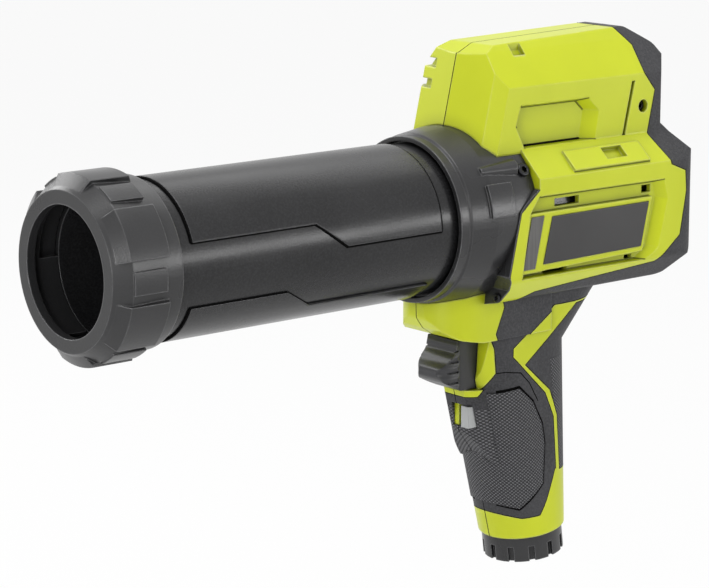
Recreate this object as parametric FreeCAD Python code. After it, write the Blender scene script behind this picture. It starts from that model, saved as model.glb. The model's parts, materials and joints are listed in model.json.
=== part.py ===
import FreeCAD, Part
import math
import os
from FreeCAD import Vector

# A cordless caulking tool. Lengths are in millimetres. The model is drawn with the muzzle face of the
# locking ring at x = 0, +X out of the muzzle, +Y to the tool's left and the barrel axis on y = z = 0,
# and is then moved so that the origin lies in the middle of the hand grip.

# Cartridge chamber and barrel
CARTRIDGE_LENGTH = 213.0
CHAMBER_RADIUS = 26.0
TUBE_WALL = 3.0
TUBE_SETBACK = 15.0
TUBE_BURIED = 23.5
PANEL_HEIGHT = 0.8
PANEL_UPPER_EDGE = 10.2
PANEL_UPPER_DROP = 9.4
PANEL_UPPER_STEP = 55.0
PANEL_LOWER_EDGE = 13.5
PANEL_LOWER_DROP = 7.2
PANEL_LOWER_STEP = 43.0
PANEL_FRONT_MARGIN = 6.5
PANEL_REAR_MARGIN = 8.0
PANEL_STEP_LENGTH = 13.5

# Locking ring
RING_LENGTH = 28.0
RING_LIP = 3.5
RING_OPENING = 23.6
RING_WALL = 3.9
RING_TAPER = 1.6
RING_LUG_HEIGHT = 1.3
RING_LUG_COUNT = 6
RING_LUG_ANGLE = 33.0
RING_LUG_LENGTH = 21.0
RING_PAD_HEIGHT = 0.8
RING_PAD_ANGLE = 14.0
RING_FRONT_CHAMFER = 6.0
RING_FRONT_STEP = 4.2
RING_POCKET_DEPTH = 2.0
RING_POCKET_ANGLE = 50.0
RING_POCKET_START = 130.0
BAYONET_COUNT = 3
BAYONET_ANGLE = 20.0
BAYONET_HEIGHT = 1.6
BAYONET_LENGTH = 4.0
BAYONET_SETBACK = 2.5
BAYONET_SLACK = 1.5
RING_TWIST = 40.0

# Nose collar
COLLAR_LENGTH = 42.0
COLLAR_RIM = 3.0
COLLAR_FLARE = 2.4
COLLAR_RIM_LENGTH = 4.0
COLLAR_FLARE_LENGTH = 16.0
COLLAR_SHOWN = 22.0
SLEEVE_WALL = 2.0
NOSE_SCREW_RADIUS = 2.6
NOSE_SCREW_ANGLE = 33.5
NOSE_SCREW_BACK = 33.5
NOSE_SCREW_HEAD = 1.4
BOSS_RADIUS = 3.6
BOSS_ANGLE = 37.0
BOSS_BACK = 13.0
BOSS_LENGTH = 17.0
COLLAR_STEP_HEIGHT = 1.0
COLLAR_STEP_BACK = 13.0
COLLAR_STEP_LENGTH = 12.0
COLLAR_STEP_ANGLE = 6.0
COLLAR_STEP_SWEEP = 21.0

# Chain drive
CHAIN_PITCH = 9.0
CHAIN_HALF_HEIGHT = 3.4
PIN_RADIUS = 1.8
PLATE_THICKNESS = 1.8
SPROCKET_TEETH = 12
SPROCKET_WIDTH = 4.8
STORE_FORWARD_LINKS = 6
STORE_TURN_LINKS = 3
STORE_BACK_LINKS = 7
LEAD_LINKS = 2
DRIVE_GAP = 2.5
GEAR_MODULE = 1.3
GEAR_TEETH = 30
PINION_TEETH = 20
GEAR_WIDTH = 5.0
GEAR_ROOM = 1.5
CHAIN_ROOM = 2.4
AXLE_RADIUS = 3.0
HUB_RADIUS = 6.0
BUSH_WALL = 2.4
MOTOR_RADIUS = 11.0
MOTOR_LENGTH = 30.0
GEARHEAD_LENGTH = 11.0
MOTOR_LEAN = 20.0
PISTON_THICKNESS = 5.0
PISTON_CLEARANCE = 1.4
WIPER_CLEARANCE = 0.35
BULKHEAD_THICKNESS = 3.0
SHAFT_RADIUS = 2.5
BOARD_HALF = 12.0
BOARD_THICKNESS = 1.6
BOARD_HEIGHT = 26.0
BOARD_LOW = 4.0

# Housing
SHELL = 3.6
OVERMOULD = 1.6
RIB = 2.0
BODY_SIDE = 6.0
BODY_BELLY = 6.0
BODY_CORNER = 9.0
LEDGE_LOW = 16.0
LEDGE_HIGH = 25.6
HUMP_SHOULDER = 50.0
HUMP_WALL = 2.8
HUMP_ROOM = 6.6
HUMP_NOSE_ROOM = 2.4
HUMP_TAIL = 7.4
LEAN = 13.3
CHIN_HALF_WIDTH = 18.6
CHIN_SETBACK = 5.0
CHIN_DEPTH = 19.5
REAR_ROOM = 11.4
PANEL_DEPTH = 3.0
PLATE_DEPTH = 1.2
PLATE_THICKNESS_SHOWN = 0.7
PLATE_FRAME = 0.4
PANEL_BACKING = 2.0
HUMP_RECESS = 3.6
NOTCH_DEPTH = 1.8
LEDGE_PAD = 0.8
LEDGE_POCKET = 1.2
SCREW_HEAD = 2.6
SCREW_DEEP = 3.6
SCREW_HEAD_LENGTH = 1.6
SCREW_FROM_REAR = 17.0
SCREW_HEIGHT = 37.0

# Hand grip
GRIP_REACH = 24.5
GRIP_DROP = 90.0
GRIP_RAKE = 7.6
BATTERY_RADIUS = 13.4
BATTERY_ROOM = 1.6
TERMINAL_RADIUS = 4.0
TERMINAL_HEIGHT = 1.2
CONTACT_THICKNESS = 1.6
BATTERY_CAP_LENGTH = 10.5
BATTERY_CAP_RADIUS = 16.2
BASE_DROP = 132.0
BASE_ROOM = 5.0
CAP_NOTCHES = 12
CAP_NOTCH_WIDTH = 2.4
CAP_NOTCH_DEPTH = 1.4
CAP_NOTCH_SHARE = 0.6
GRIP_RADIUS = 17.2
GRIP_FRONT_LEAN = 14.2
GRIP_REAR_LEAN = 2.0
GRIP_KNEE = 50.0
GRIP_ROOT = 20.0
GRIP_FLARE = 18.0
GRIP_CORE_CUT = 0.68
PAD_PROUD = 0.6
SWELL_REACH = 4.0
SWELL_DROP = 31.0
SWELL_RADIUS = 11.0

# Trigger and selector
TRIGGER_HALF_WIDTH = 7.0
FINGER_HALF_WIDTH = 8.6
FINGER_LENGTH = 3.0
FINGER_RIBS = 4
FINGER_GROOVE = 0.7
TRIGGER_TRAVEL = 6.0
TRIGGER_DEPTH = 15.0
TRIGGER_HEIGHT = 20.6
TRIGGER_SETBACK = 12.5
GUARD_SETBACK = 2.0
SWITCH_LENGTH = 15.0
PLUNGER_RADIUS = 2.2
PLUNGER_LENGTH = 4.0
SPRING_RADIUS = 3.2
SPRING_WIRE = 0.8
SELECTOR_HEIGHT = 8.6
SELECTOR_WIDTH = 4.3
SELECTOR_LEFT = 7.4
SELECTOR_PROUD = 1.4
SELECTOR_DEEP = 4.2
SELECTOR_FOOT = 2.4
FOOT_LIP = 1.2
SELECTOR_TRAVEL = 3.2
SELECTOR_GAP = 7.2
SELECTOR_SUNK = 0.8

# Clearances
SEAT = 0.1
RUN = 0.4
BEARING = 0.05

BIG = 400.0


def xz(u, v):
    return Vector(u, 0, v)


def outline(corners, place):
    """Closed wire through (u, v, radius) corners, each rounded by its radius."""
    count = len(corners)
    marks = []
    for i in range(count):
        here = Vector(corners[i][0], corners[i][1], 0)
        before = Vector(corners[i - 1][0], corners[i - 1][1], 0)
        after = Vector(corners[(i + 1) % count][0], corners[(i + 1) % count][1], 0)
        radius = corners[i][2] if len(corners[i]) > 2 else 0
        if radius <= 0:
            marks.append((here, None, here))
            continue
        back = (before - here).normalize()
        ahead = (after - here).normalize()
        half = back.getAngle(ahead) / 2
        middle = (back + ahead).normalize()
        tangent = radius / math.tan(half)
        crown = here + middle * (radius / math.sin(half) - radius)
        marks.append((here + back * tangent, crown, here + ahead * tangent))
    edges = []
    for i in range(count):
        start, crown, end = marks[i]
        if crown is not None:
            edges.append(Part.Arc(place(start.x, start.y), place(crown.x, crown.y), place(end.x, end.y)).toShape())
        onward = marks[(i + 1) % count][0]
        if (onward - end).Length > 1e-6:
            edges.append(Part.LineSegment(place(end.x, end.y), place(onward.x, onward.y)).toShape())
    return Part.Wire(edges)


def plain(corners, inset):
    """Corners without their radii for the inside of the shell, where nothing shows."""
    return [row[:2] for row in corners] if inset > 0 else corners


def side_prism(corners, inset=0.0):
    """Side outline in XZ, drawn in by inset and carried right across the tool."""
    face = Part.Face(outline(plain(corners, inset), xz))
    if inset:
        face = face.makeOffset2D(-inset)
    face.translate(Vector(0, -BIG, 0))
    return face.extrude(Vector(0, 2 * BIG, 0))


def section_prism(corners, inset=0.0):
    """Cross-section in YZ, drawn in by inset and carried right along the tool."""
    face = Part.Face(outline(plain(corners, inset), lambda u, v: Vector(0, u, v)))
    if inset:
        face = face.makeOffset2D(-inset)
    face.translate(Vector(-BIG, 0, 0))
    return face.extrude(Vector(2 * BIG, 0, 0))


def plan_prism(corners, inset=0.0, lean=0.0):
    """Plan of (y, x) corners carried up and down, leaning back by lean for each unit of height."""
    face = Part.Face(outline(plain(corners, inset), lambda u, v: Vector(v, u, 0)))
    if inset:
        face = face.makeOffset2D(-inset)
    face.translate(Vector(lean * BIG, 0, -BIG))
    return face.extrude(Vector(-2 * lean * BIG, 0, 2 * BIG))


def drawn_in(corners, insets):
    """Corners of an outline whose edges are moved inwards, each by its own inset."""
    count = len(corners)
    turn = 0.0
    for i in range(count):
        a, b = corners[i - 1], corners[i]
        turn += a[0] * b[1] - b[0] * a[1]
    lines = []
    for i in range(count):
        a, b = corners[i], corners[(i + 1) % count]
        along = Vector(b[0] - a[0], b[1] - a[1], 0).normalize()
        inwards = Vector(-along.y, along.x, 0) * math.copysign(1.0, turn)
        lines.append((Vector(a[0], a[1], 0) + inwards * insets[i], along))
    moved = []
    for i in range(count):
        (p, u), (q, v) = lines[i - 1], lines[i]
        across = u.x * v.y - u.y * v.x
        step = ((q.x - p.x) * v.y - (q.y - p.y) * v.x) / across
        moved.append((p.x + u.x * step, p.y + u.y * step))
    return moved


def sunk_panel(corners, insets, face, depth):
    """Recess in the left side with sloped walls: its outline at the face, drawn in towards the floor."""
    wires = []
    for rows, y in ((corners, face), (drawn_in(corners, insets), face - depth)):
        points = [Vector(x, y, z) for x, z in rows]
        wires.append(Part.makePolygon(points + points[:1]))
    lid = Part.Face(wires[0]).extrude(Vector(0, BODY_SIDE, 0))
    return Part.makeLoft(wires, True, True).fuse(lid)


def mirrored(half):
    """Left half of an outline completed about y = 0."""
    return half + [(-row[0],) + tuple(row[1:]) for row in reversed(half)]


def turned(profile, start=0.0, sweep=360.0):
    """Revolve of an (x, radius) profile about the barrel axis; angles run from +Y towards +Z."""
    points = [Vector(x, r, 0) for x, r in profile]
    face = Part.Face(Part.makePolygon(points + points[:1]))
    solid = face.revolve(Vector(0, 0, 0), Vector(1, 0, 0), sweep)
    solid.rotate(Vector(0, 0, 0), Vector(1, 0, 0), start)
    return solid


def cross_rod(radius, x, z, low, high):
    """Round rod across the tool."""
    return Part.makeCylinder(radius, high - low, Vector(x, low, z), Vector(0, 1, 0))


def ring_points(sides, radius, start, along):
    """Corners of a many-sided ring round a direction."""
    across = along.cross(Vector(0.3, 0.2, 1.0)).normalize()
    other = along.cross(across).normalize()
    points = []
    for i in range(sides):
        angle = 2 * math.pi * (i + 0.5) / sides
        points.append(start + across * (radius * math.cos(angle)) + other * (radius * math.sin(angle)))
    return points + points[:1]


def bar(sides, radius, start, along):
    """Many-sided bar for the small round pieces that repeat."""
    return Part.Face(Part.makePolygon(ring_points(sides, radius, start, along))).extrude(along)


def spike(sides, radius, start, along):
    """Bar that swells from half its radius to the whole of it."""
    narrow = Part.makePolygon(ring_points(sides, radius / 2, start, along))
    wide = Part.makePolygon(ring_points(sides, radius, start + along, along))
    return Part.makeLoft([narrow, wide], True, True)


def box(x0, x1, y0, y1, z0, z1):
    return Part.makeBox(x1 - x0, y1 - y0, z1 - z0, Vector(x0, y0, z0))


def slab(half):
    return box(-BIG, BIG, -half, half, -BIG, BIG)


def union(shapes):
    return shapes[0].multiFuse(shapes[1:]).removeSplitter()


def left_of(shape):
    return shape.common(box(-BIG, BIG, 0, BIG, -BIG, BIG))


def right_of(shape):
    return shape.common(box(-BIG, BIG, -BIG, 0, -BIG, BIG))


def mirror(shape):
    return shape.mirror(Vector(0, 0, 0), Vector(0, 1, 0))


# Derived layout, front to back
TUBE_RADIUS = CHAMBER_RADIUS + TUBE_WALL
TUBE_FRONT = -TUBE_SETBACK
TUBE_REAR = -RING_LIP - CARTRIDGE_LENGTH - PISTON_THICKNESS
COLLAR_REAR = TUBE_REAR + TUBE_BURIED
COLLAR_FRONT = COLLAR_REAR + COLLAR_LENGTH
COLLAR_WIDE = TUBE_RADIUS + COLLAR_RIM + COLLAR_FLARE
BULKHEAD_REAR = TUBE_REAR - BULKHEAD_THICKNESS

SPROCKET_RADIUS = CHAIN_PITCH / (2 * math.sin(math.pi / SPROCKET_TEETH))
TURN_RADIUS = CHAIN_PITCH / (2 * math.sin(math.pi / (2 * STORE_TURN_LINKS)))
GEAR_TIP = GEAR_MODULE * (GEAR_TEETH / 2 + 0.85)
CHAIN_REACH = SPROCKET_RADIUS + CHAIN_HALF_HEIGHT
DRIVE_X = BULKHEAD_REAR - max(GEAR_TIP, CHAIN_REACH) - DRIVE_GAP
DRIVE_Z = SPROCKET_RADIUS
RUN_LOW = 2 * SPROCKET_RADIUS
RUN_HIGH = RUN_LOW + 2 * TURN_RADIUS
TURN_X = DRIVE_X + STORE_FORWARD_LINKS * CHAIN_PITCH
TURN_Z = RUN_LOW + TURN_RADIUS
CLEVIS_X = DRIVE_X + LEAD_LINKS * CHAIN_PITCH
MOTOR_DISTANCE = GEAR_MODULE * (GEAR_TEETH + PINION_TEETH) / 2
MOTOR_X = DRIVE_X - MOTOR_DISTANCE * math.sin(math.radians(MOTOR_LEAN))
MOTOR_Z = DRIVE_Z - MOTOR_DISTANCE * math.cos(math.radians(MOTOR_LEAN))
PLATE_IN = SPROCKET_WIDTH / 2 + 0.9
PLATE_OUT = PLATE_IN + PLATE_THICKNESS + 0.2
CHAIN_HALF_WIDTH = PLATE_OUT + PLATE_THICKNESS
RIB_INNER = CHAIN_HALF_WIDTH + CHAIN_ROOM
GEAR_OFFSET = RIB_INNER + RIB + GEAR_ROOM
RIB_OUTER = GEAR_OFFSET + GEAR_WIDTH + GEAR_ROOM
HUMP_HALF_WIDTH = RIB_OUTER + RIB + HUMP_WALL

TAN_LEAN = math.tan(math.radians(LEAN))
BODY_HALF = TUBE_RADIUS + BODY_SIDE
BODY_FRONT = COLLAR_FRONT - COLLAR_SHOWN
BODY_REAR = MOTOR_X - MOTOR_RADIUS - REAR_ROOM - SHELL
BODY_LOW = -TUBE_RADIUS - BODY_BELLY
HUMP_TOP = RUN_HIGH + CHAIN_HALF_HEIGHT + HUMP_ROOM + SHELL
HUMP_FRONT = TURN_X + TURN_RADIUS + CHAIN_HALF_HEIGHT + HUMP_WALL + HUMP_NOSE_ROOM
HUMP_REAR = DRIVE_X - CHAIN_REACH - HUMP_TAIL
CHIN_FRONT = COLLAR_FRONT - CHIN_SETBACK
CHIN_LOW = -TUBE_RADIUS - CHIN_DEPTH
TRIGGER_FRONT = CHIN_FRONT - TRIGGER_SETBACK
TRIGGER_REAR = TRIGGER_FRONT - TRIGGER_DEPTH
TRIGGER_TOP = CHIN_LOW - RUN
TRIGGER_LOW = TRIGGER_TOP - TRIGGER_HEIGHT
SWITCH_FRONT = TRIGGER_REAR - TRIGGER_TRAVEL - PLUNGER_LENGTH
SWITCH_REAR = SWITCH_FRONT - SWITCH_LENGTH
GRIP_BACK = GRIP_REACH - TRIGGER_REAR
SIN_RAKE = math.sin(math.radians(GRIP_RAKE))
COS_RAKE = math.cos(math.radians(GRIP_RAKE))


# Locking ring: flat front, six grip lugs with low pads between them, bayonet grooves inside
def make_locking_ring():
    bore = TUBE_RADIUS + RUN
    outer = TUBE_RADIUS + RING_WALL
    front = outer - RING_FRONT_STEP
    low = outer - RING_TAPER
    shoulder = TUBE_FRONT + SEAT
    ring = turned([
        (0, RING_OPENING),
        (0, front),
        (-RING_FRONT_CHAMFER, outer),
        (-RING_LENGTH, low),
        (-RING_LENGTH, bore),
        (shoulder, bore),
        (shoulder, CHAMBER_RADIUS),
        (-RING_LIP, CHAMBER_RADIUS),
        (-RING_LIP, RING_OPENING),
    ])
    crest = outer + RING_LUG_HEIGHT
    lug = [
        (-RING_FRONT_CHAMFER * 0.2, front + RING_FRONT_STEP * 0.16),
        (-RING_FRONT_CHAMFER * 0.8, crest),
        (-RING_LUG_LENGTH, crest),
        (-RING_LUG_LENGTH - RING_LUG_HEIGHT, low),
        (-RING_FRONT_CHAMFER, low),
        (-RING_FRONT_CHAMFER * 0.2, front - RING_PAD_HEIGHT),
    ]
    crest = outer + RING_PAD_HEIGHT
    rear = RING_LUG_HEIGHT - RING_LUG_LENGTH
    pad = [(-RING_FRONT_CHAMFER, low), (-RING_FRONT_CHAMFER, crest), (rear, crest), (rear, low)]
    pitch = 360 / RING_LUG_COUNT
    pieces = [ring]
    for i in range(RING_LUG_COUNT):
        pieces.append(turned(lug, 90 - RING_LUG_ANGLE / 2 + i * pitch, RING_LUG_ANGLE))
        pieces.append(turned(pad, 90 + (pitch - RING_PAD_ANGLE) / 2 + i * pitch, RING_PAD_ANGLE))
    ring = union(pieces)
    groove = TUBE_RADIUS + BAYONET_HEIGHT + RUN
    front = TUBE_FRONT - BAYONET_SETBACK + RUN
    rear = front - BAYONET_LENGTH - 2 * RUN
    span = BAYONET_ANGLE + 2 * BAYONET_SLACK
    deep = CHAMBER_RADIUS + RING_POCKET_DEPTH
    cuts = []
    for i in range(BAYONET_COUNT):
        turn = i * 360 / BAYONET_COUNT
        first = turn - span / 2 - RING_TWIST
        for back, sweep in ((rear, RING_TWIST + span), (-RING_LENGTH - 1, span)):
            cuts.append(turned([(front, bore - 1), (front, groove), (back, groove), (back, bore - 1)], first, sweep))
        pocket = [(-2 * RING_LIP, bore - 5), (-2 * RING_LIP, deep), (shoulder, deep), (shoulder, bore - 5)]
        cuts.append(turned(pocket, RING_POCKET_START + turn, RING_POCKET_ANGLE))
    return ring.cut(cuts)


# Barrel tube with bayonet lugs and two raised panels whose edges step down along the tube
def make_barrel_tube():
    tube = turned([
        (TUBE_FRONT, CHAMBER_RADIUS), (TUBE_FRONT, TUBE_RADIUS), (TUBE_REAR, TUBE_RADIUS), (TUBE_REAR, CHAMBER_RADIUS),
    ])
    pieces = [tube]
    root = TUBE_RADIUS - 0.5
    crest = TUBE_RADIUS + BAYONET_HEIGHT
    front = TUBE_FRONT - BAYONET_SETBACK
    rear = front - BAYONET_LENGTH
    for i in range(BAYONET_COUNT):
        pieces.append(turned([
            (front, root), (front, crest), (rear, crest), (rear, root),
        ], i * 360 / BAYONET_COUNT - BAYONET_ANGLE / 2, BAYONET_ANGLE))
    front = -RING_LENGTH - PANEL_FRONT_MARGIN
    rear = COLLAR_FRONT + PANEL_REAR_MARGIN
    crest = TUBE_RADIUS + PANEL_HEIGHT
    skin = turned([(front, root), (front, crest), (rear, crest), (rear, root)])
    for edge, drop, step, far in (
        (PANEL_UPPER_EDGE, -PANEL_UPPER_DROP, PANEL_UPPER_STEP, BIG),
        (-PANEL_LOWER_EDGE, -PANEL_LOWER_DROP, PANEL_LOWER_STEP, -BIG),
    ):
        shape = [
            (front + 1, far), (front + 1, edge), (front - step, edge),
            (front - step - PANEL_STEP_LENGTH, edge + drop), (rear - 1, edge + drop), (rear - 1, far),
        ]
        pieces.append(skin.common(side_prism(shape)))
    return union(pieces)


# Nose collar: rim, flare and a sleeve that runs back into the body
def collar_profile(grow):
    rim = TUBE_RADIUS + COLLAR_RIM + grow
    return [
        (COLLAR_FRONT + grow, rim),
        (COLLAR_FRONT - COLLAR_RIM_LENGTH, rim),
        (COLLAR_FRONT - COLLAR_RIM_LENGTH - 0.8, rim + 0.8),
        (COLLAR_FRONT - COLLAR_FLARE_LENGTH, COLLAR_WIDE + grow),
        (COLLAR_REAR - grow, COLLAR_WIDE + grow),
    ]


def make_nose_collar():
    """Collar whose sleeve is thinned inside the body and slotted over the stored chain."""
    bore = TUBE_RADIUS + SEAT
    mouth = TUBE_RADIUS + PANEL_HEIGHT + RUN
    depth = COLLAR_FRONT - COLLAR_RIM_LENGTH
    collar = turned(collar_profile(0) + [(COLLAR_REAR, bore), (depth, bore), (depth, mouth), (COLLAR_FRONT, mouth)])
    seat = COLLAR_WIDE - COLLAR_STEP_HEIGHT
    angle = math.radians(BOSS_ANGLE)
    boss_at = Vector(COLLAR_FRONT - BOSS_BACK, seat * math.cos(angle), seat * math.sin(angle))
    boss = spike(12, BOSS_RADIUS, boss_at, Vector(-BOSS_LENGTH, 0, 0))
    front = COLLAR_FRONT - COLLAR_STEP_BACK
    rear = front - COLLAR_STEP_LENGTH
    crest = COLLAR_WIDE + COLLAR_STEP_HEIGHT
    step = turned([(front, seat), (front, crest), (rear, crest), (rear, seat)], COLLAR_STEP_ANGLE, COLLAR_STEP_SWEEP)
    collar = collar.multiFuse([boss, step, mirror(boss), mirror(step)])
    wide = CHAIN_HALF_WIDTH + 2 * RUN
    slot = box(-BIG, TURN_X + TURN_RADIUS + CHAIN_HALF_HEIGHT + 2 * RUN, -wide, wide, 0, BIG)
    return collar.cut([body_form(-SEAT).cut(sleeve(0)), slot])


def sleeve(grow):
    """Round room that the collar's sleeve takes up inside the body."""
    radius = TUBE_RADIUS + SLEEVE_WALL + grow
    return turned([(COLLAR_FRONT, 0), (COLLAR_FRONT, radius), (COLLAR_REAR - grow, radius), (COLLAR_REAR - grow, 0)])


def collar_envelope():
    return turned(collar_profile(SEAT) + [(COLLAR_REAR - SEAT, 0), (COLLAR_FRONT + SEAT, 0)])


# Body: a side outline met by a cross-section and a plan
def body_form(inset):
    side = [
        (BODY_FRONT - 2.0, BODY_LOW),
        (BODY_FRONT - 3.0, -26.0),
        (BODY_FRONT, -20.0),
        (BODY_FRONT - 5.5, 4.0),
        (BODY_FRONT - 15.0, 12.0),
        (BODY_FRONT - 15.0, TUBE_RADIUS + 1.0),
        (BODY_REAR + 15.0, TUBE_RADIUS + 1.0, 3.0),
        (BODY_REAR + 3.5, 16.0, 6.0),
        (BODY_REAR, 2.0, 12.0),
        (BODY_REAR + 7.5, -21.0, 8.0),
        (BODY_REAR + 16.0, -30.5, 5.0),
        (BODY_REAR + 30.0, BODY_LOW, 8.0),
    ]
    section = mirrored([
        (12.0, BODY_LOW + 0.5, 3.0),
        (BODY_HALF - 8.5, BODY_LOW + 3.5, 5.0),
        (BODY_HALF, BODY_LOW + 13.0, 4.0),
        (BODY_HALF, LEDGE_LOW),
        (HUMP_HALF_WIDTH + 0.5, LEDGE_HIGH),
        (HUMP_HALF_WIDTH - 2.0, TUBE_RADIUS + 0.5),
    ])
    plan = mirrored([
        (BODY_HALF, BODY_FRONT + 20.0),
        (BODY_HALF, BODY_REAR + BODY_CORNER, 8.0),
        (BODY_HALF - BODY_CORNER, BODY_REAR, 6.0),
    ])
    return side_prism(side, inset).common(section_prism(section, inset)).common(plan_prism(plan, inset))


# Hump over the stored chain: a leaning prow, sloped shoulders and a drawn-in neck at the rear
def hump_form(inset):
    side = [
        (HUMP_FRONT + 30.0, 20.0),
        (HUMP_FRONT + 30.0, HUMP_TOP - 4.6),
        (HUMP_FRONT - 6.0, HUMP_TOP - 4.6, 2.0),
        (HUMP_FRONT - 13.0, HUMP_TOP - 1.2, 3.0),
        (HUMP_REAR + 15.0, HUMP_TOP + 1.0, 5.0),
        (HUMP_REAR + 4.0, HUMP_TOP - 6.0, 5.0),
        (HUMP_REAR, HUMP_TOP - 15.0, 4.0),
        (HUMP_REAR + 0.5, HUMP_TOP - 22.0, 3.0),
        (HUMP_REAR + 5.0, HUMP_TOP - 34.0, 3.0),
        (HUMP_REAR + 5.0, 20.0),
    ]
    section = mirrored([
        (HUMP_HALF_WIDTH, 15.0),
        (HUMP_HALF_WIDTH, HUMP_SHOULDER),
        (14.0, HUMP_TOP - 3.5, 2.0),
        (9.5, HUMP_TOP + 1.5, 4.0),
    ])
    nose = HUMP_FRONT + 40.0 * TAN_LEAN
    plan = mirrored([
        (0.01, nose),
        (HUMP_HALF_WIDTH - 4.5, nose - 3.2),
        (HUMP_HALF_WIDTH, nose - 8.0),
        (HUMP_HALF_WIDTH, HUMP_REAR - 40.0),
    ])
    tail = mirrored([
        (HUMP_HALF_WIDTH, HUMP_FRONT + 60.0),
        (HUMP_HALF_WIDTH, HUMP_REAR + 7.0, 2.0),
        (HUMP_HALF_WIDTH - 7.0, HUMP_REAR, 3.0),
    ])
    form = side_prism(side, inset).common(section_prism(section, inset))
    return form.common(plan_prism(plan, inset, TAN_LEAN)).common(plan_prism(tail, inset))


# Chin: rounded nose under the collar, above the trigger
def chin_form(inset):
    side = [
        (CHIN_FRONT, -TUBE_RADIUS + 8.0),
        (CHIN_FRONT - 0.6, CHIN_LOW + 9.5, 3.0),
        (CHIN_FRONT - 4.0, CHIN_LOW + 5.0, 4.0),
        (CHIN_FRONT - 9.0, CHIN_LOW + 1.8, 5.0),
        (CHIN_FRONT - 19.0, CHIN_LOW, 3.0),
        (CHIN_FRONT - 55.0, CHIN_LOW),
        (CHIN_FRONT - 55.0, -TUBE_RADIUS + 8.0),
    ]
    plan = mirrored([
        (CHIN_HALF_WIDTH, CHIN_FRONT, CHIN_HALF_WIDTH - 0.1),
        (CHIN_HALF_WIDTH, CHIN_FRONT - 55.0),
    ])
    return side_prism(side, inset).common(plan_prism(plan, inset))


def grip_front(z):
    """Front of the handle on its middle plane."""
    rise = math.tan(math.radians(GRIP_FRONT_LEAN)) * (BASE_DROP + z)
    return GRIP_RADIUS / math.cos(math.radians(GRIP_FRONT_LEAN)) - grip_centre(BASE_DROP) + rise


def on_grip(across, share):
    """Side-view point: across in grip radii from the handle's middle, share from the chin to the base."""
    return (-GRIP_BACK + across * GRIP_RADIUS, CHIN_LOW - share * (BASE_DROP + CHIN_LOW))


def guard_cut():
    """Room for the finger in front of the guard's edge."""
    low = TRIGGER_LOW - RUN
    edge = TRIGGER_REAR + GUARD_SETBACK
    return side_prism([
        (edge - 0.8, CHIN_LOW),
        (edge, TRIGGER_TOP - TRIGGER_HEIGHT * 0.65),
        (edge + 0.9, TRIGGER_TOP - TRIGGER_HEIGHT * 0.88),
        (edge + 3.0, low),
        (CHIN_FRONT + BIG, low),
        (CHIN_FRONT + BIG, CHIN_LOW),
    ])


def finger_swell():
    """Lip under the trigger that runs down into a swell for the fingers."""
    top = TRIGGER_LOW - RUN
    side = []
    for share, reach in ((0.0, 1.0), (0.42, 1.0), (0.57, 1.4), (1.0, -0.3)):
        z = top - share * SWELL_DROP
        side.append((grip_front(z) + reach * SWELL_REACH, z))
    behind = grip_front(top) - 2 * SWELL_RADIUS
    side = side_prism(side + [(behind, top - SWELL_DROP), (behind, top)])
    lean = math.radians(GRIP_FRONT_LEAN)
    foot = grip_front(-BASE_DROP) + 1.4 * SWELL_REACH - SWELL_RADIUS / math.cos(lean)
    along = Vector(math.sin(lean), 0, math.cos(lean))
    return Part.makeCylinder(SWELL_RADIUS, BASE_DROP, Vector(foot, 0, -BASE_DROP), along).common(side)


def grip_centre(drop):
    return GRIP_BACK + (drop - GRIP_DROP) * SIN_RAKE / COS_RAKE


# Handle: round front and rear that close on the base, flared to the rear at the root
def grip_levels():
    """(drop, front, rear) of the round ends' axes at the base, the knee and the root."""
    foot = -grip_centre(BASE_DROP)
    front_rise = math.tan(math.radians(GRIP_FRONT_LEAN))
    knee = foot + (BASE_DROP - GRIP_KNEE) * math.tan(math.radians(GRIP_REAR_LEAN))
    root = GRIP_KNEE - GRIP_ROOT
    return [
        (BASE_DROP, foot + 0.2, foot - 0.2),
        (GRIP_KNEE, foot + (BASE_DROP - GRIP_KNEE) * front_rise, knee),
        (root, foot + (BASE_DROP - root) * front_rise, knee - GRIP_FLARE),
    ]


def grip_form(inset):
    """Union of the front and rear bars and the flat-sided web between them."""
    r = GRIP_RADIUS - inset
    rows = grip_levels()
    axes = [(rows[0][1], rows[0][0], rows[2][1], rows[2][0])]
    axes += [(low[2], low[0], high[2], high[0]) for low, high in zip(rows, rows[1:])]
    pieces = []
    for x0, drop0, x1, drop1 in axes:
        start = Vector(x0, 0, -drop0)
        along = Vector(x1, 0, -drop1) - start
        unit = Vector(along).normalize()
        rod = Part.makeCylinder(r, along.Length + 2 * GRIP_RADIUS, start - unit * GRIP_RADIUS, unit)
        pieces.append(rod.common(box(-BIG, BIG, -BIG, BIG, -BASE_DROP - BASE_ROOM, -drop1)))
    web = side_prism([(row[1], -row[0]) for row in rows] + [(row[2], -row[0]) for row in reversed(rows)])
    pieces.append(web.common(slab(r - 0.05)))
    return pieces[0].multiFuse(pieces[1:]).cut(along_grip(3 * GRIP_RADIUS, -3 * BASE_ROOM, 0.0))


def grip_inside(inset):
    """Plain eight-sided core that the overmould grips."""
    r = GRIP_RADIUS - inset
    cut = r * GRIP_CORE_CUT
    wires = []
    for drop, front, rear in grip_levels():
        points = []
        for centre, a, b in ((front, 1, 1), (rear, -1, 1), (rear, -1, -1), (front, 1, -1)):
            ends = [Vector(centre + a * r, b * (r - cut), -drop), Vector(centre + a * (r - cut), b * r, -drop)]
            points.extend(ends if a == b else ends[::-1])
        wires.append(Part.makePolygon(points + points[:1]))
    return Part.makeLoft(wires, True, True)


def body_hump_chin(inset):
    return union([body_form(inset), hump_form(inset), chin_form(inset)])


def along_grip(radius, low, high):
    """Cylinder on the grip's axis between two distances above the base."""
    foot = Vector(-grip_centre(BASE_DROP), 0, -BASE_DROP)
    up = Vector(SIN_RAKE, 0, COS_RAKE)
    return Part.makeCylinder(radius, high - low, foot + up * low, up)


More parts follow.
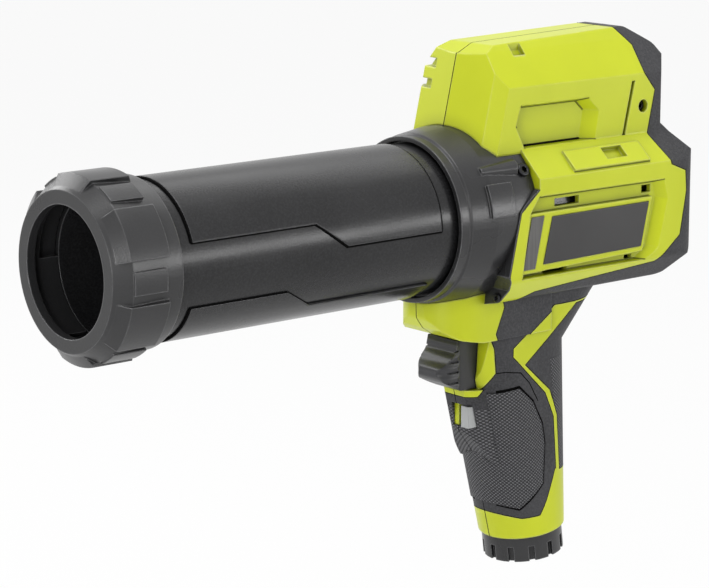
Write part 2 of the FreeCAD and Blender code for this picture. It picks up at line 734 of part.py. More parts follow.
# Regions of the grey overmould, drawn in side view
def grey_region():
    return side_prism([
        (HUMP_REAR + 22.0, HUMP_TOP + 20.0),
        (HUMP_REAR + 22.0, HUMP_TOP + 3.0),
        (HUMP_REAR + 15.5, HUMP_TOP - 6.0),
        (HUMP_REAR + 16.5, HUMP_SHOULDER),
        (HUMP_REAR + 10.5, HUMP_SHOULDER - 7.0),
        (HUMP_REAR + 14.5, LEDGE_HIGH),
        (BODY_REAR + 20.0, LEDGE_LOW - 1.5),
        (BODY_REAR + 12.0, LEDGE_LOW - 4.7),
        (BODY_REAR + 11.2, 3.0),
        (BODY_REAR + 14.5, BODY_LOW + 20.5),
        (BODY_REAR + 27.0, BODY_LOW + 11.0),
        (BODY_FRONT - 48.0, BODY_LOW + 8.6),
        (BODY_FRONT - 18.5, BODY_LOW + 6.2),
        (BODY_FRONT - 11.5, BODY_LOW + 3.3),
        on_grip(1.3, -0.15),
        on_grip(1.55, -0.03),
        on_grip(1.38, 0.054),
        on_grip(1.29, 0.174),
        on_grip(1.46, 0.25),
        on_grip(1.6, 0.29),
        on_grip(3.5, 0.305),
        on_grip(3.5, 0.76),
        on_grip(1.74, 0.82),
        on_grip(1.33, 0.868),
        on_grip(0.4, 0.915),
        on_grip(0.0, 0.905),
        on_grip(-0.2, 0.83),
        on_grip(-0.45, 0.69),
        on_grip(-3.5, 0.64),
        (-BIG, -60.0),
        (-BIG, HUMP_TOP + 20.0),
    ])


def stripe_region():
    return side_prism([
        on_grip(-0.35, -0.114),
        on_grip(0.93, 0.06),
        on_grip(0.93, 0.102),
        on_grip(-0.09, 0.305),
        on_grip(-0.37, 0.431),
        on_grip(-0.49, 0.7),
        on_grip(-0.64, 0.7),
        on_grip(-0.51, 0.425),
        on_grip(-0.23, 0.293),
        on_grip(0.55, 0.15),
        on_grip(-1.08, -0.102),
        on_grip(-3.5, -0.102),
        on_grip(-3.5, -0.114),
    ])


def backstrap_region():
    return side_prism([
        on_grip(0.55, 0.15),
        on_grip(-1.08, -0.102),
        on_grip(-3.5, -0.102),
        on_grip(-3.5, 0.7),
        on_grip(-0.64, 0.7),
        on_grip(-0.51, 0.425),
        on_grip(-0.23, 0.293),
    ])


def pad_region():
    return side_prism([
        on_grip(3.5, 0.299),
        on_grip(1.28, 0.275),
        on_grip(0.75, 0.257),
        on_grip(0.33, 0.334),
        on_grip(0.03, 0.451),
        on_grip(-0.06, 0.547),
        on_grip(-0.03, 0.743),
        on_grip(0.51, 0.862),
        on_grip(1.45, 0.814),
        on_grip(3.5, 0.754),
    ])


# Trigger: hooked finger piece that slides back into the handle
def make_trigger():
    block = side_prism([
        (TRIGGER_REAR, TRIGGER_TOP),
        (TRIGGER_REAR, TRIGGER_LOW),
        (TRIGGER_FRONT - 5.0, TRIGGER_LOW, 3.0),
        (TRIGGER_FRONT + 4.0, TRIGGER_LOW + 4.4, 3.0),
        (TRIGGER_FRONT + 7.0, TRIGGER_LOW + 8.6, 2.5),
        (TRIGGER_FRONT - 0.6, TRIGGER_TOP - 5.4, 5.0),
        (TRIGGER_FRONT - 1.8, TRIGGER_TOP),
    ])
    step = TRIGGER_FRONT - FINGER_LENGTH
    plan = mirrored([
        (FINGER_HALF_WIDTH, TRIGGER_FRONT + 7.0, 7.0),
        (FINGER_HALF_WIDTH, step),
        (TRIGGER_HALF_WIDTH, step - 1.0),
        (TRIGGER_HALF_WIDTH, TRIGGER_REAR),
    ])
    pitch = TRIGGER_HEIGHT / (FINGER_RIBS + 1)
    heart = plan_prism(plan, FINGER_GROOVE)
    grooves = []
    for i in range(1, FINGER_RIBS + 1):
        z = TRIGGER_LOW + i * pitch
        grooves.append(box(step + 0.4, BIG, -BIG, BIG, z - FINGER_GROOVE / 2, z + FINGER_GROOVE / 2).cut(heart))
    return block.common(plan_prism(plan)).cut(grooves)


def trigger_pocket():
    wide = TRIGGER_HALF_WIDTH + RUN
    return box(SWITCH_REAR - SEAT, BIG, -wide, wide, TRIGGER_LOW - RUN, TRIGGER_TOP + RUN)


# Selector: sliding block in a slot beside the parting line, on a foot that stays behind the slot
SELECTOR_Z = TRIGGER_LOW - SELECTOR_GAP - SELECTOR_HEIGHT / 2
SELECTOR_FACE = grip_front(SELECTOR_Z) + SWELL_REACH
SELECTOR_RIGHT = SELECTOR_LEFT - SELECTOR_WIDTH


def selector_box(deep, high, right, left, grow):
    half = SELECTOR_HEIGHT / 2 + grow
    return box(SELECTOR_FACE + deep, SELECTOR_FACE + high, right, left, SELECTOR_Z - half, SELECTOR_Z + half)


def make_selector():
    block = selector_box(-SELECTOR_DEEP - 0.5, SELECTOR_PROUD, SELECTOR_RIGHT, SELECTOR_LEFT, 0.0)
    foot = selector_box(-SELECTOR_DEEP - SELECTOR_FOOT, -SELECTOR_DEEP, SELECTOR_RIGHT - FOOT_LIP, SELECTOR_LEFT, FOOT_LIP)
    return union([block, foot])


def selector_slot():
    """Slot through the housing and the room behind it for the foot's travel."""
    low = SELECTOR_RIGHT - SELECTOR_TRAVEL - RUN
    slot = selector_box(-SELECTOR_DEEP - 1.0, 10.0, low, SELECTOR_LEFT + RUN, RUN)
    room = selector_box(
        -SELECTOR_DEEP - SELECTOR_FOOT - RUN, -SELECTOR_DEEP + RUN, low - FOOT_LIP, SELECTOR_LEFT + RUN, FOOT_LIP + RUN)
    return slot.fuse(room)


def selector_window():
    """Gap in the soft grip round the slot, wide enough to show the housing beside it."""
    right = SELECTOR_RIGHT - SELECTOR_TRAVEL - 3.0
    return selector_box(-GRIP_RADIUS / 2, GRIP_RADIUS / 2, right, SELECTOR_LEFT + RUN, RUN)


# Push chain: pins walk along the run, round the sprocket, into the hump and round the store's turn
def chain_pins():
    stations = []
    for i in range(LEAD_LINKS, 0, -1):
        stations.append((DRIVE_X + i * CHAIN_PITCH, 0.0))
    half = SPROCKET_TEETH // 2
    for i in range(half + 1):
        angle = 2 * math.pi * i / SPROCKET_TEETH
        stations.append((DRIVE_X - SPROCKET_RADIUS * math.sin(angle), DRIVE_Z - SPROCKET_RADIUS * math.cos(angle)))
    for i in range(1, STORE_FORWARD_LINKS + 1):
        stations.append((DRIVE_X + i * CHAIN_PITCH, RUN_LOW))
    for i in range(1, STORE_TURN_LINKS + 1):
        angle = math.pi * i / STORE_TURN_LINKS
        stations.append((TURN_X + TURN_RADIUS * math.sin(angle), TURN_Z - TURN_RADIUS * math.cos(angle)))
    for i in range(1, STORE_BACK_LINKS + 1):
        stations.append((TURN_X - i * CHAIN_PITCH, RUN_HIGH))
    return stations


def chain_plate(a, b, low):
    """Six-sided link plate over two pins."""
    along = Vector(b[0] - a[0], 0, b[1] - a[1]).normalize()
    up = Vector(-along.z, 0, along.x)
    reach = CHAIN_HALF_HEIGHT
    cut = reach * 0.4
    points = []
    for centre, sign in ((a, -1), (b, 1)):
        middle = Vector(centre[0], low, centre[1])
        for out, rise in ((cut, -reach), (reach, 0.0), (cut, reach)):
            points.append(middle + along * (out * sign) + up * (rise * sign))
    face = Part.Face(Part.makePolygon(points + points[:1]))
    return face.extrude(Vector(0, PLATE_THICKNESS, 0))


def link_plates(a, b, index):
    near = PLATE_IN if index % 2 else PLATE_OUT
    return [chain_plate(a, b, near), chain_plate(a, b, -near - PLATE_THICKNESS)]


def link_pin(station):
    return bar(6, PIN_RADIUS, Vector(station[0], -PLATE_IN + SEAT, station[1]), Vector(0, 2 * (PLATE_IN - SEAT), 0))


# Toothed wheels
def gear(teeth, x, z, phase, low):
    """Spur gear with straight-flanked teeth; the first tooth points along phase, measured from +X to +Z."""
    pitch = GEAR_MODULE * teeth / 2
    step = 2 * math.pi / teeth
    points = []
    for i in range(teeth):
        for share, radius in ((-0.29, -1.1), (-0.11, 0.85), (0.11, 0.85), (0.29, -1.1)):
            angle = math.radians(phase) + (i + share) * step
            r = pitch + radius * GEAR_MODULE
            points.append(Vector(x + r * math.cos(angle), low, z + r * math.sin(angle)))
    return Part.Face(Part.makePolygon(points + points[:1])).extrude(Vector(0, GEAR_WIDTH, 0))


def make_sprocket():
    """Toothed wheel whose gullets hold the chain's pins, on a hub that reaches the drive gear."""
    half = SPROCKET_WIDTH / 2
    gullet = PIN_RADIUS + RUN
    tip = SPROCKET_RADIUS + PIN_RADIUS * 0.8
    step = 2 * math.pi / SPROCKET_TEETH
    mouth = gullet / SPROCKET_RADIUS
    points = []
    for i in range(SPROCKET_TEETH):
        middle = i * step
        for turn in (-90, -30, 30, 90):
            side = gullet * math.sin(math.radians(turn))
            depth = SPROCKET_RADIUS - gullet * math.cos(math.radians(turn))
            points.append((middle + side / SPROCKET_RADIUS, depth))
        points.append((middle + mouth + (step - 2 * mouth) * 0.3, tip))
        points.append((middle + step - mouth - (step - 2 * mouth) * 0.3, tip))
    corners = [Vector(DRIVE_X - r * math.sin(t), -half, DRIVE_Z - r * math.cos(t)) for t, r in points]
    wheel = Part.Face(Part.makePolygon(corners + corners[:1])).extrude(Vector(0, SPROCKET_WIDTH, 0))
    hub_low = -GEAR_OFFSET + SEAT
    hub = bar(12, HUB_RADIUS, Vector(DRIVE_X, hub_low, DRIVE_Z), Vector(0, half + 3.0 - hub_low, 0))
    return wheel.fuse(hub).cut(cross_rod(AXLE_RADIUS + SEAT, DRIVE_X, DRIVE_Z, -BIG, BIG))


parts = {}
parts["locking_ring"] = make_locking_ring()
parts["barrel_tube"] = make_barrel_tube()
parts["nose_collar"] = make_nose_collar()

# Piston with its wiper and clevis
PISTON_REAR = TUBE_REAR + RUN
PISTON_FRONT = PISTON_REAR + PISTON_THICKNESS
PISTON_RADIUS = CHAMBER_RADIUS - PISTON_CLEARANCE
groove_low = PISTON_REAR + PISTON_THICKNESS * 0.3
groove_high = PISTON_REAR + PISTON_THICKNESS * 0.7
WIPER_SEAT = PISTON_RADIUS - 2.0


def inner_round(radius, low, high):
    """Many-sided disc on the barrel axis, for pieces that stay inside the chamber."""
    return bar(24, radius, Vector(low, 0, 0), Vector(high - low, 0, 0))


piston = inner_round(PISTON_RADIUS, PISTON_REAR, groove_low).multiFuse([
    inner_round(WIPER_SEAT, groove_low, groove_high),
    inner_round(PISTON_RADIUS, groove_high, PISTON_FRONT),
    box(CLEVIS_X - 3.0, PISTON_REAR, SEAT - PLATE_IN, PLATE_IN - SEAT, -CHAIN_HALF_HEIGHT, CHAIN_HALF_HEIGHT),
])
clevis_low = Vector(CLEVIS_X, SEAT - PLATE_IN, 0)
clevis_along = Vector(0, 2 * (PLATE_IN - SEAT), 0)
parts["piston_plate"] = piston.cut(bar(8, PIN_RADIUS + BEARING, clevis_low, clevis_along))
wiper = inner_round(CHAMBER_RADIUS - WIPER_CLEARANCE, groove_low + SEAT, groove_high - SEAT)
parts["piston_wiper"] = wiper.cut(inner_round(WIPER_SEAT + SEAT, groove_low, groove_high))
slot_y = CHAIN_HALF_WIDTH + RUN
slot_z = CHAIN_HALF_HEIGHT + RUN
bulkhead = inner_round(TUBE_RADIUS, BULKHEAD_REAR, TUBE_REAR - SEAT)
parts["chamber_bulkhead"] = bulkhead.cut(box(-BIG, 0, -slot_y, slot_y, -slot_z, slot_z))

# Push chain, the lead links apart from the stored ones
stations = chain_pins()
lead = []
stored = []
for i in range(len(stations) - 1):
    group = lead if i < LEAD_LINKS else stored
    group.extend(link_plates(stations[i], stations[i + 1], i + LEAD_LINKS % 2 + 1))
parts["clevis_pin"] = bar(8, PIN_RADIUS, clevis_low, clevis_along)
parts["lead_links"] = Part.makeCompound(lead)
parts["lead_pins"] = Part.makeCompound([link_pin(station) for station in stations[1:LEAD_LINKS + 1]])
parts["chain_links"] = Part.makeCompound(stored)
parts["chain_pins"] = Part.makeCompound([link_pin(station) for station in stations[LEAD_LINKS + 1:-1]])

# Chain guide: a tongue between the two stored runs with a round nose for the turn
guide_half = TURN_RADIUS * math.cos(math.pi / (2 * STORE_TURN_LINKS)) - CHAIN_HALF_HEIGHT - RUN
guide_rear = DRIVE_X + 4.0
guide = side_prism([
    (TURN_X + guide_half, TURN_Z - guide_half, guide_half - 0.05),
    (TURN_X + guide_half, TURN_Z + guide_half, guide_half - 0.05),
    (guide_rear, TURN_Z + guide_half, 1.0),
    (guide_rear, TURN_Z - guide_half, 1.0),
]).common(box(-BIG, BIG, -RIB_INNER + SEAT, RIB_OUTER - SEAT, -BIG, BIG))
parts["chain_guide"] = guide

# Drive train
parts["sprocket"] = make_sprocket()
axle_end = RIB_OUTER + RIB + 2.0
parts["drive_axle"] = cross_rod(AXLE_RADIUS, DRIVE_X, DRIVE_Z, -axle_end, axle_end)
mesh = 270 - MOTOR_LEAN
wheel = gear(GEAR_TEETH, DRIVE_X, DRIVE_Z, mesh, -GEAR_OFFSET - GEAR_WIDTH)
parts["drive_gear"] = wheel.cut(cross_rod(AXLE_RADIUS + SEAT, DRIVE_X, DRIVE_Z, -BIG, BIG))
pinion = gear(PINION_TEETH, MOTOR_X, MOTOR_Z, mesh + 180 + 180 / PINION_TEETH, -GEAR_OFFSET - GEAR_WIDTH)
head_low = -GEAR_OFFSET + GEAR_ROOM / 2
head_high = head_low + GEARHEAD_LENGTH
shaft_low = -GEAR_OFFSET - GEAR_WIDTH - GEAR_ROOM / 2
shaft_high = head_low + SHAFT_RADIUS
parts["motor_pinion"] = pinion.fuse(cross_rod(SHAFT_RADIUS, MOTOR_X, MOTOR_Z, shaft_low, shaft_high))


def motor_round(radius, low, high):
    """Twenty-four-sided can across the body, on the motor's axis."""
    return bar(24, radius, Vector(MOTOR_X, low, MOTOR_Z), Vector(0, high - low, 0))


gearhead = motor_round(MOTOR_RADIUS, head_low, head_high - SEAT)
parts["gearhead"] = gearhead.cut(cross_rod(SHAFT_RADIUS + BEARING, MOTOR_X, MOTOR_Z, -BIG, shaft_high + RUN))
parts["motor"] = motor_round(MOTOR_RADIUS, head_high, head_high + MOTOR_LENGTH)
bush_low = RIB_OUTER - 1.0
bush_high = RIB_OUTER + RIB + 1.0
bushes = []
for low in (bush_low, -bush_high):
    rod = bar(12, AXLE_RADIUS + BUSH_WALL, Vector(DRIVE_X, low, DRIVE_Z), Vector(0, bush_high - bush_low, 0))
    bushes.append(rod.cut(cross_rod(AXLE_RADIUS + BEARING, DRIVE_X, DRIVE_Z, -BIG, BIG)))
parts["axle_bushes"] = Part.makeCompound(bushes)

# Trigger, switch, spring and selector
parts["trigger"] = make_trigger()
SWITCH_HALF = TRIGGER_HALF_WIDTH + RUN - SEAT
switch = box(SWITCH_REAR, SWITCH_FRONT, -SWITCH_HALF, SWITCH_HALF, TRIGGER_LOW - RUN + SEAT, TRIGGER_TOP - 1.0)
plunger_at = Vector(SWITCH_FRONT, 0, TRIGGER_LOW + 3 * PLUNGER_RADIUS)
plunger = bar(12, PLUNGER_RADIUS, plunger_at, Vector(PLUNGER_LENGTH - RUN, 0, 0))
parts["trigger_switch"] = switch.fuse(plunger)
spring_z = TRIGGER_TOP - 2 * SPRING_RADIUS
spring_length = TRIGGER_REAR - SWITCH_FRONT - 2 * SEAT
spring_at = Vector(SWITCH_FRONT + SEAT, 0, spring_z)
spring = bar(12, SPRING_RADIUS, spring_at, Vector(spring_length, 0, 0))
parts["trigger_spring"] = spring.cut(bar(12, SPRING_RADIUS - SPRING_WIRE, spring_at, Vector(spring_length, 0, 0)))
parts["selector_button"] = make_selector()

# Battery with its end cap
stack = TERMINAL_HEIGHT + CONTACT_THICKNESS + 2 * RUN
pack_top = (BASE_DROP + TRIGGER_LOW) / COS_RAKE - BATTERY_RADIUS * SIN_RAKE - stack - BATTERY_ROOM
parts["battery_pack"] = along_grip(BATTERY_RADIUS, SEAT, pack_top)
cap = along_grip(BATTERY_CAP_RADIUS, -BATTERY_CAP_LENGTH, -RUN)
cap = cap.fuse(along_grip(BATTERY_RADIUS, -RUN, 0.0))
foot = Vector(-grip_centre(BASE_DROP), 0, -BASE_DROP)
up = Vector(SIN_RAKE, 0, COS_RAKE)
notches = []
for i in range(CAP_NOTCHES):
    notch_at = Vector(-CAP_NOTCH_WIDTH / 2, BATTERY_CAP_RADIUS - CAP_NOTCH_DEPTH, -SEAT)
    notch = Part.makeBox(CAP_NOTCH_WIDTH, 2 * CAP_NOTCH_DEPTH, BATTERY_CAP_LENGTH * CAP_NOTCH_SHARE, notch_at)
    notch.rotate(Vector(0, 0, 0), Vector(0, 0, 1), i * 360 / CAP_NOTCHES)
    notch.rotate(Vector(0, 0, 0), Vector(0, 1, 0), GRIP_RAKE)
    notch.translate(foot - up * BATTERY_CAP_LENGTH)
    notches.append(notch)
parts["battery_cap"] = cap.cut(notches)
terminal_top = pack_top + TERMINAL_HEIGHT
parts["battery_terminals"] = bar(16, TERMINAL_RADIUS, foot + up * (pack_top + SEAT), up * (TERMINAL_HEIGHT - SEAT))
parts["battery_contacts"] = bar(16, BATTERY_RADIUS, foot + up * (terminal_top + RUN), up * CONTACT_THICKNESS)

# Control board behind the drive
board_x = MOTOR_X - MOTOR_RADIUS - RUN - 2.0


def board_form(grow):
    half = BOARD_HALF + grow
    low = MOTOR_Z - BOARD_LOW - grow
    return box(board_x - grow, board_x + BOARD_THICKNESS + grow, -half, half, low, low + BOARD_HEIGHT + 2 * grow)


parts["control_board"] = board_form(0.0)

# Shell: outer form less its cavity, with ribs that carry the inner pieces
flat_outer = body_hump_chin(0.0)
flat_core = body_hump_chin(OVERMOULD)
grip_outer = grip_form(0.0).cut(guard_cut()).fuse(finger_swell())
grip_core = grip_inside(OVERMOULD)
outer = flat_outer.fuse(grip_outer)
strap = grip_outer.common(backstrap_region()).cut(grip_core)
window = selector_window()
region = grey_region().cut(stripe_region()).cut(backstrap_region()).cut(window)
grey = flat_outer.common(region).cut(flat_core).cut(grip_core)
grey = grey.fuse(grip_outer.common(region).cut(grip_core).cut(flat_core))
cavity = union([body_form(SHELL), hump_form(HUMP_WALL)])
ribs = []
for base in (RIB_OUTER, -RIB_INNER - RIB, -RIB_OUTER - RIB):
    ribs.append(cavity.common(box(-BIG, BIG, base, base + RIB, -BIG, BIG)))
seats = [
    collar_envelope().cut(body_form(0.0)),
    sleeve(SEAT),
    turned([(0, 0), (0, TUBE_RADIUS + SEAT), (BULKHEAD_REAR - SEAT, TUBE_RADIUS + SEAT), (BULKHEAD_REAR - SEAT, 0)]),
    motor_round(MOTOR_RADIUS + SEAT, head_low - SEAT, head_high + MOTOR_LENGTH + SEAT),
    bar(12, AXLE_RADIUS + BUSH_WALL + SEAT, Vector(DRIVE_X, -bush_high, DRIVE_Z), Vector(0, 2 * bush_high, 0)),
    bar(12, HUB_RADIUS + 2 * RUN, Vector(DRIVE_X, -RIB_INNER - RIB - RUN, DRIVE_Z), Vector(0, RIB + 2 * RUN, 0)),
    board_form(SEAT),
    trigger_pocket(),
    selector_slot(),
    window.common(selector_box(-SELECTOR_SUNK, BIG, -BIG, BIG, BIG)),
    along_grip(BATTERY_RADIUS + RUN, -BASE_ROOM, pack_top + stack),
]
screw_dirs = []
for angle in (NOSE_SCREW_ANGLE, 180 - NOSE_SCREW_ANGLE):
    screw_dirs.append(Vector(0, math.cos(math.radians(angle)), math.sin(math.radians(angle))))


def nose_screw(out, grow):
    start = out * (COLLAR_WIDE + SEAT - grow) + Vector(COLLAR_FRONT - NOSE_SCREW_BACK, 0, 0)
    return bar(12, NOSE_SCREW_RADIUS + grow, start, out * (NOSE_SCREW_HEAD + 2 * grow))


seats += [nose_screw(out, SEAT) for out in screw_dirs]
shell = outer.cut(grey).cut(strap).cut(cavity)
grey = grey.cut([selector_slot(), trigger_pocket()])
shell = shell.multiFuse(ribs).cut(seats)

# Side panels: a sunk trough round an island that carries the bare plate and the window on the left
panel_floor = BODY_HALF - PANEL_DEPTH
plate_floor = BODY_HALF - PLATE_DEPTH
panel_rows = [
    (BODY_FRONT - 15.0, 9.5), (BODY_REAR + 24.0, 9.0), (BODY_REAR + 21.5, 1.0), (BODY_REAR + 26.5, -18.0),
    (BODY_REAR + 33.0, -22.4), (BODY_FRONT - 6.4, -21.8), (BODY_FRONT - 10.4, 3.5),
]
panel = sunk_panel(panel_rows, (1.0, 4.6, 5.2, 3.6, 0.8, 0.6, 0.6), BODY_HALF, PANEL_DEPTH)
backing_low = panel_floor - PANEL_BACKING
backing = side_prism(panel_rows).common(box(-BIG, BIG, backing_low, panel_floor + SEAT, -BIG, BIG))
backing = backing.common(body_form(SHELL / 2))
island_rows = [
    (BODY_FRONT - 9.6, 3.0), (BODY_REAR + 30.0, 2.6), (BODY_REAR + 35.0, -18.6), (BODY_FRONT - 5.6, -20.0),
]
plate_rows = [
    (BODY_FRONT - 22.5, 0.8), (BODY_REAR + 32.0, 0.8), (BODY_REAR + 36.0, -16.6), (BODY_FRONT - 18.0, -17.2),
]
window_rows = [
    (BODY_FRONT - 11.6, 1.6), (BODY_FRONT - 18.0, 1.6), (BODY_FRONT - 13.5, -18.4), (BODY_FRONT - 7.4, -18.4),
]
layer = box(-BIG, BIG, plate_floor + SEAT, plate_floor + PLATE_THICKNESS_SHOWN, -BIG, BIG)
parts["name_plate"] = side_prism(plate_rows).common(layer)
parts["side_window"] = side_prism(window_rows).common(layer)
island = side_prism(island_rows).common(box(-BIG, BIG, backing_low, plate_floor + PLATE_FRAME, -BIG, BIG))
above = box(-BIG, BIG, plate_floor, BIG, -BIG, BIG)
island = island.cut([side_prism(rows, -SEAT).common(above) for rows in (plate_rows, window_rows)])
vents = []
for x, z, length, height in (
    (BODY_FRONT - 32.0, 5.6, 13.0, 3.0),
    (BODY_REAR + 31.5, 5.6, 5.0, 3.0),
    (BODY_FRONT - 26.0, -20.6, 13.0, 2.0),
    (BODY_REAR + 41.0, -20.6, 4.0, 1.8),
):
    vents.append(box(x - length / 2, x + length / 2, backing_low - SHELL, BIG, z - height / 2, z + height / 2))

# Hump sides: long sunk panel with a sloped rear wall, a leaning groove and the hole of a housing screw
hump_rows = [
    (HUMP_FRONT - 16.5, 43.0), (HUMP_FRONT - 52.5, 43.0), (HUMP_FRONT - 58.5, 37.5),
    (HUMP_FRONT - 56.5, LEDGE_HIGH + 0.8), (HUMP_FRONT - 18.5, LEDGE_HIGH + 0.8), (HUMP_FRONT - 14.0, 35.0),
]
hump_panel = sunk_panel(hump_rows, (1.2, 3.6, 6.0, 0.2, 0.8, 0.8), HUMP_HALF_WIDTH, HUMP_RECESS)
hump_groove = side_prism([
    (HUMP_REAR + 23.4, 47.4), (HUMP_REAR + 21.8, 47.4), (HUMP_REAR + 26.8, 26.4), (HUMP_REAR + 28.4, 26.4),
]).common(box(-BIG, BIG, HUMP_HALF_WIDTH - NOTCH_DEPTH, BIG, -BIG, BIG))
screw_x = HUMP_REAR + SCREW_FROM_REAR
screw_seat = Vector(screw_x, HUMP_HALF_WIDTH - SCREW_DEEP, SCREW_HEIGHT)
hole = bar(12, SCREW_HEAD, screw_seat, Vector(0, 2 * SCREW_DEEP, 0))
boss = bar(12, SCREW_HEAD + 2.0, Vector(screw_x, RIB_OUTER, SCREW_HEIGHT), Vector(0, RIB + HUMP_WALL - NOTCH_DEPTH, 0))
head = bar(12, SCREW_HEAD - SEAT, screw_seat + Vector(0, SEAT, 0), Vector(0, SCREW_HEAD_LENGTH, 0))
parts["housing_screws"] = Part.makeCompound([head, mirror(head)])

# Shallow slots in the hump's skin: a pair on the shoulders and two in the right front corner
skin = hump_form(0.0).cut(hump_form(NOTCH_DEPTH))
shoulder_slot = box(HUMP_FRONT - 26.5, HUMP_FRONT - 20.5, 12.0, 15.5, 0, BIG)
corner_slots = []
for low, width in ((HUMP_SHOULDER - 3.0, 11.0), (HUMP_SHOULDER + 5.0, 12.0)):
    corner_slots.append(box(HUMP_FRONT - 14.0, BIG, -BIG, -HUMP_HALF_WIDTH + width, low, low + 3.4))
notches = [skin.common(tool) for tool in [shoulder_slot, mirror(shoulder_slot)] + corner_slots]

# Ledge beside the hump: a raised rest with a pocket in it
fall = Vector(0, BODY_HALF - HUMP_HALF_WIDTH, LEDGE_LOW - LEDGE_HIGH).normalize()
rise = Vector(0, -fall.z, fall.y)
crown = Vector(0, HUMP_HALF_WIDTH + 0.5, LEDGE_HIGH)


def ledge_block(front, rear, start, end, low, high):
    """Block on the sloped ledge between two distances down its slope."""
    corners = [crown + fall * start + rise * low, crown + fall * end + rise * low]
    corners += [crown + fall * end + rise * high, crown + fall * start + rise * high]
    points = [corner + Vector(rear, 0, 0) for corner in corners]
    return Part.Face(Part.makePolygon(points + points[:1])).extrude(Vector(front - rear, 0, 0))


slope = (BODY_HALF - HUMP_HALF_WIDTH) / fall.y
rest = ledge_block(BODY_FRONT - 34.0, BODY_REAR + 32.0, 3.0, slope - 1.6, -LEDGE_PAD, LEDGE_PAD)
pocket = ledge_block(BODY_FRONT - 53.5, BODY_REAR + 42.5, 4.0, 9.6, -LEDGE_POCKET, 2 * LEDGE_PAD)

left_cuts = [hump_panel, hump_groove, hole, pocket] + vents
cuts = left_cuts + [mirror(cut) for cut in left_cuts] + notches
shell = shell.multiFuse([boss, mirror(boss), rest, mirror(rest)])
shell = shell.cut([panel, mirror(panel)]).multiFuse([backing, mirror(backing), island]).cut(cuts + seats)
parts["left_housing"] = left_of(shell)
parts["right_housing"] = right_of(shell)
parts["left_overmould"] = left_of(grey)
parts["right_overmould"] = right_of(grey)
parts["grip_backstrap"] = strap

# Textured pads stand a little proud of the overmould on both sides of the handle
pads = grip_form(-PAD_PROUD).common(pad_region()).cut(grip_outer).cut(window)
parts["left_grip_pad"] = left_of(pads)
parts["right_grip_pad"] = right_of(pads)

# Screws that hold the collar to the body
parts["nose_screws"] = Part.makeCompound([nose_screw(out, 0.0) for out in screw_dirs])

os.makedirs("parts", exist_ok=True)
HOME = Vector(GRIP_BACK, 0, GRIP_DROP)
for name, shape in parts.items():
    placed = shape.translated(HOME)
    print(name, len(placed.Solids), round(placed.Volume), placed.isValid())
    placed.exportStep("parts/" + name + ".step")
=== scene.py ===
import json
import math
import bpy
import bmesh
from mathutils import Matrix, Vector
from mathutils.bvhtree import BVHTree


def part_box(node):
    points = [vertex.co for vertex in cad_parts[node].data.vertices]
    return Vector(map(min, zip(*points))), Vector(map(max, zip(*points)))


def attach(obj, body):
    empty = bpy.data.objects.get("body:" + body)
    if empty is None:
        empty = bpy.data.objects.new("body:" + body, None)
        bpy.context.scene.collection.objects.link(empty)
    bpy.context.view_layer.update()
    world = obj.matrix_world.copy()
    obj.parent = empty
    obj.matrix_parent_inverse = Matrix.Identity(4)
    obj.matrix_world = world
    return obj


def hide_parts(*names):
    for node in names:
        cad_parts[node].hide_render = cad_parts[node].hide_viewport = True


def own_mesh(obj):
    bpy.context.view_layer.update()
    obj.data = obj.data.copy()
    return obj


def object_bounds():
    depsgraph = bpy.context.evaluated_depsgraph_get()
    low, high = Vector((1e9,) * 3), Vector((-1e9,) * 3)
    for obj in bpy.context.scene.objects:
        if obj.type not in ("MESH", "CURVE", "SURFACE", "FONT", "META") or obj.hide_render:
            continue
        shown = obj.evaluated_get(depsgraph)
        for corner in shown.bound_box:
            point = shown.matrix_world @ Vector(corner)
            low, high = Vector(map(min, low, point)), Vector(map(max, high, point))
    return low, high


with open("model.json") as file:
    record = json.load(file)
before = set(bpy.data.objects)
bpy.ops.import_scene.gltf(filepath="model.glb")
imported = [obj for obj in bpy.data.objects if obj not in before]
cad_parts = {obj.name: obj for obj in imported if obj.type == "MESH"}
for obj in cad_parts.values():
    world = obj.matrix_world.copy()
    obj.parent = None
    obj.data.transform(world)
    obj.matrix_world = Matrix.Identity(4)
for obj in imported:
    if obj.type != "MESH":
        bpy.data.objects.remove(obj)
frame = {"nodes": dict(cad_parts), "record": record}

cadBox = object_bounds()
nodes = frame["nodes"]
print("frame loaded,", len(nodes), "nodes")

# small helpers for node trees
floatKind = "NodeSocketFloat"
vectorKind = "NodeSocketVector"
mixInputs = (0, 6, 7)  # factor and the two colours of a Mix node
mixResult = 2


def newGroup(name, inputs, outputs):
    tree = bpy.data.node_groups.new(name, "ShaderNodeTree")
    for label, value in inputs:
        socket = tree.interface.new_socket(label, in_out="INPUT", socket_type=floatKind)
        socket.default_value = value
    for label, kind in outputs:
        tree.interface.new_socket(label, in_out="OUTPUT", socket_type=kind)
    start = tree.nodes.new("NodeGroupInput")
    end = tree.nodes.new("NodeGroupOutput")
    return tree, start.outputs, end.inputs


def feed(tree, socket, value):
    if isinstance(value, bpy.types.NodeSocket):
        tree.links.new(value, socket)
    else:
        socket.default_value = value


def addNode(tree, kind, settings=None, **values):
    node = tree.nodes.new(kind)
    for key, value in (settings or {}).items():
        setattr(node, key, value)
    for key, value in values.items():
        feed(tree, node.inputs[key], value)
    return node


def addGroup(tree, group, **values):
    return addNode(tree, "ShaderNodeGroup", {"node_tree": group}, **values)


def mathNode(tree, operation, first, second=0.0, clamp=False):
    node = addNode(tree, "ShaderNodeMath", {"operation": operation, "use_clamp": clamp})
    feed(tree, node.inputs[0], first)
    feed(tree, node.inputs[1], second)
    return node.outputs[0]


def mixColour(tree, factor, first, second):
    node = addNode(tree, "ShaderNodeMix", {"data_type": "RGBA"})
    for place, value in zip(mixInputs, (factor, first, second)):
        feed(tree, node.inputs[place], value)
    return node.outputs[mixResult]


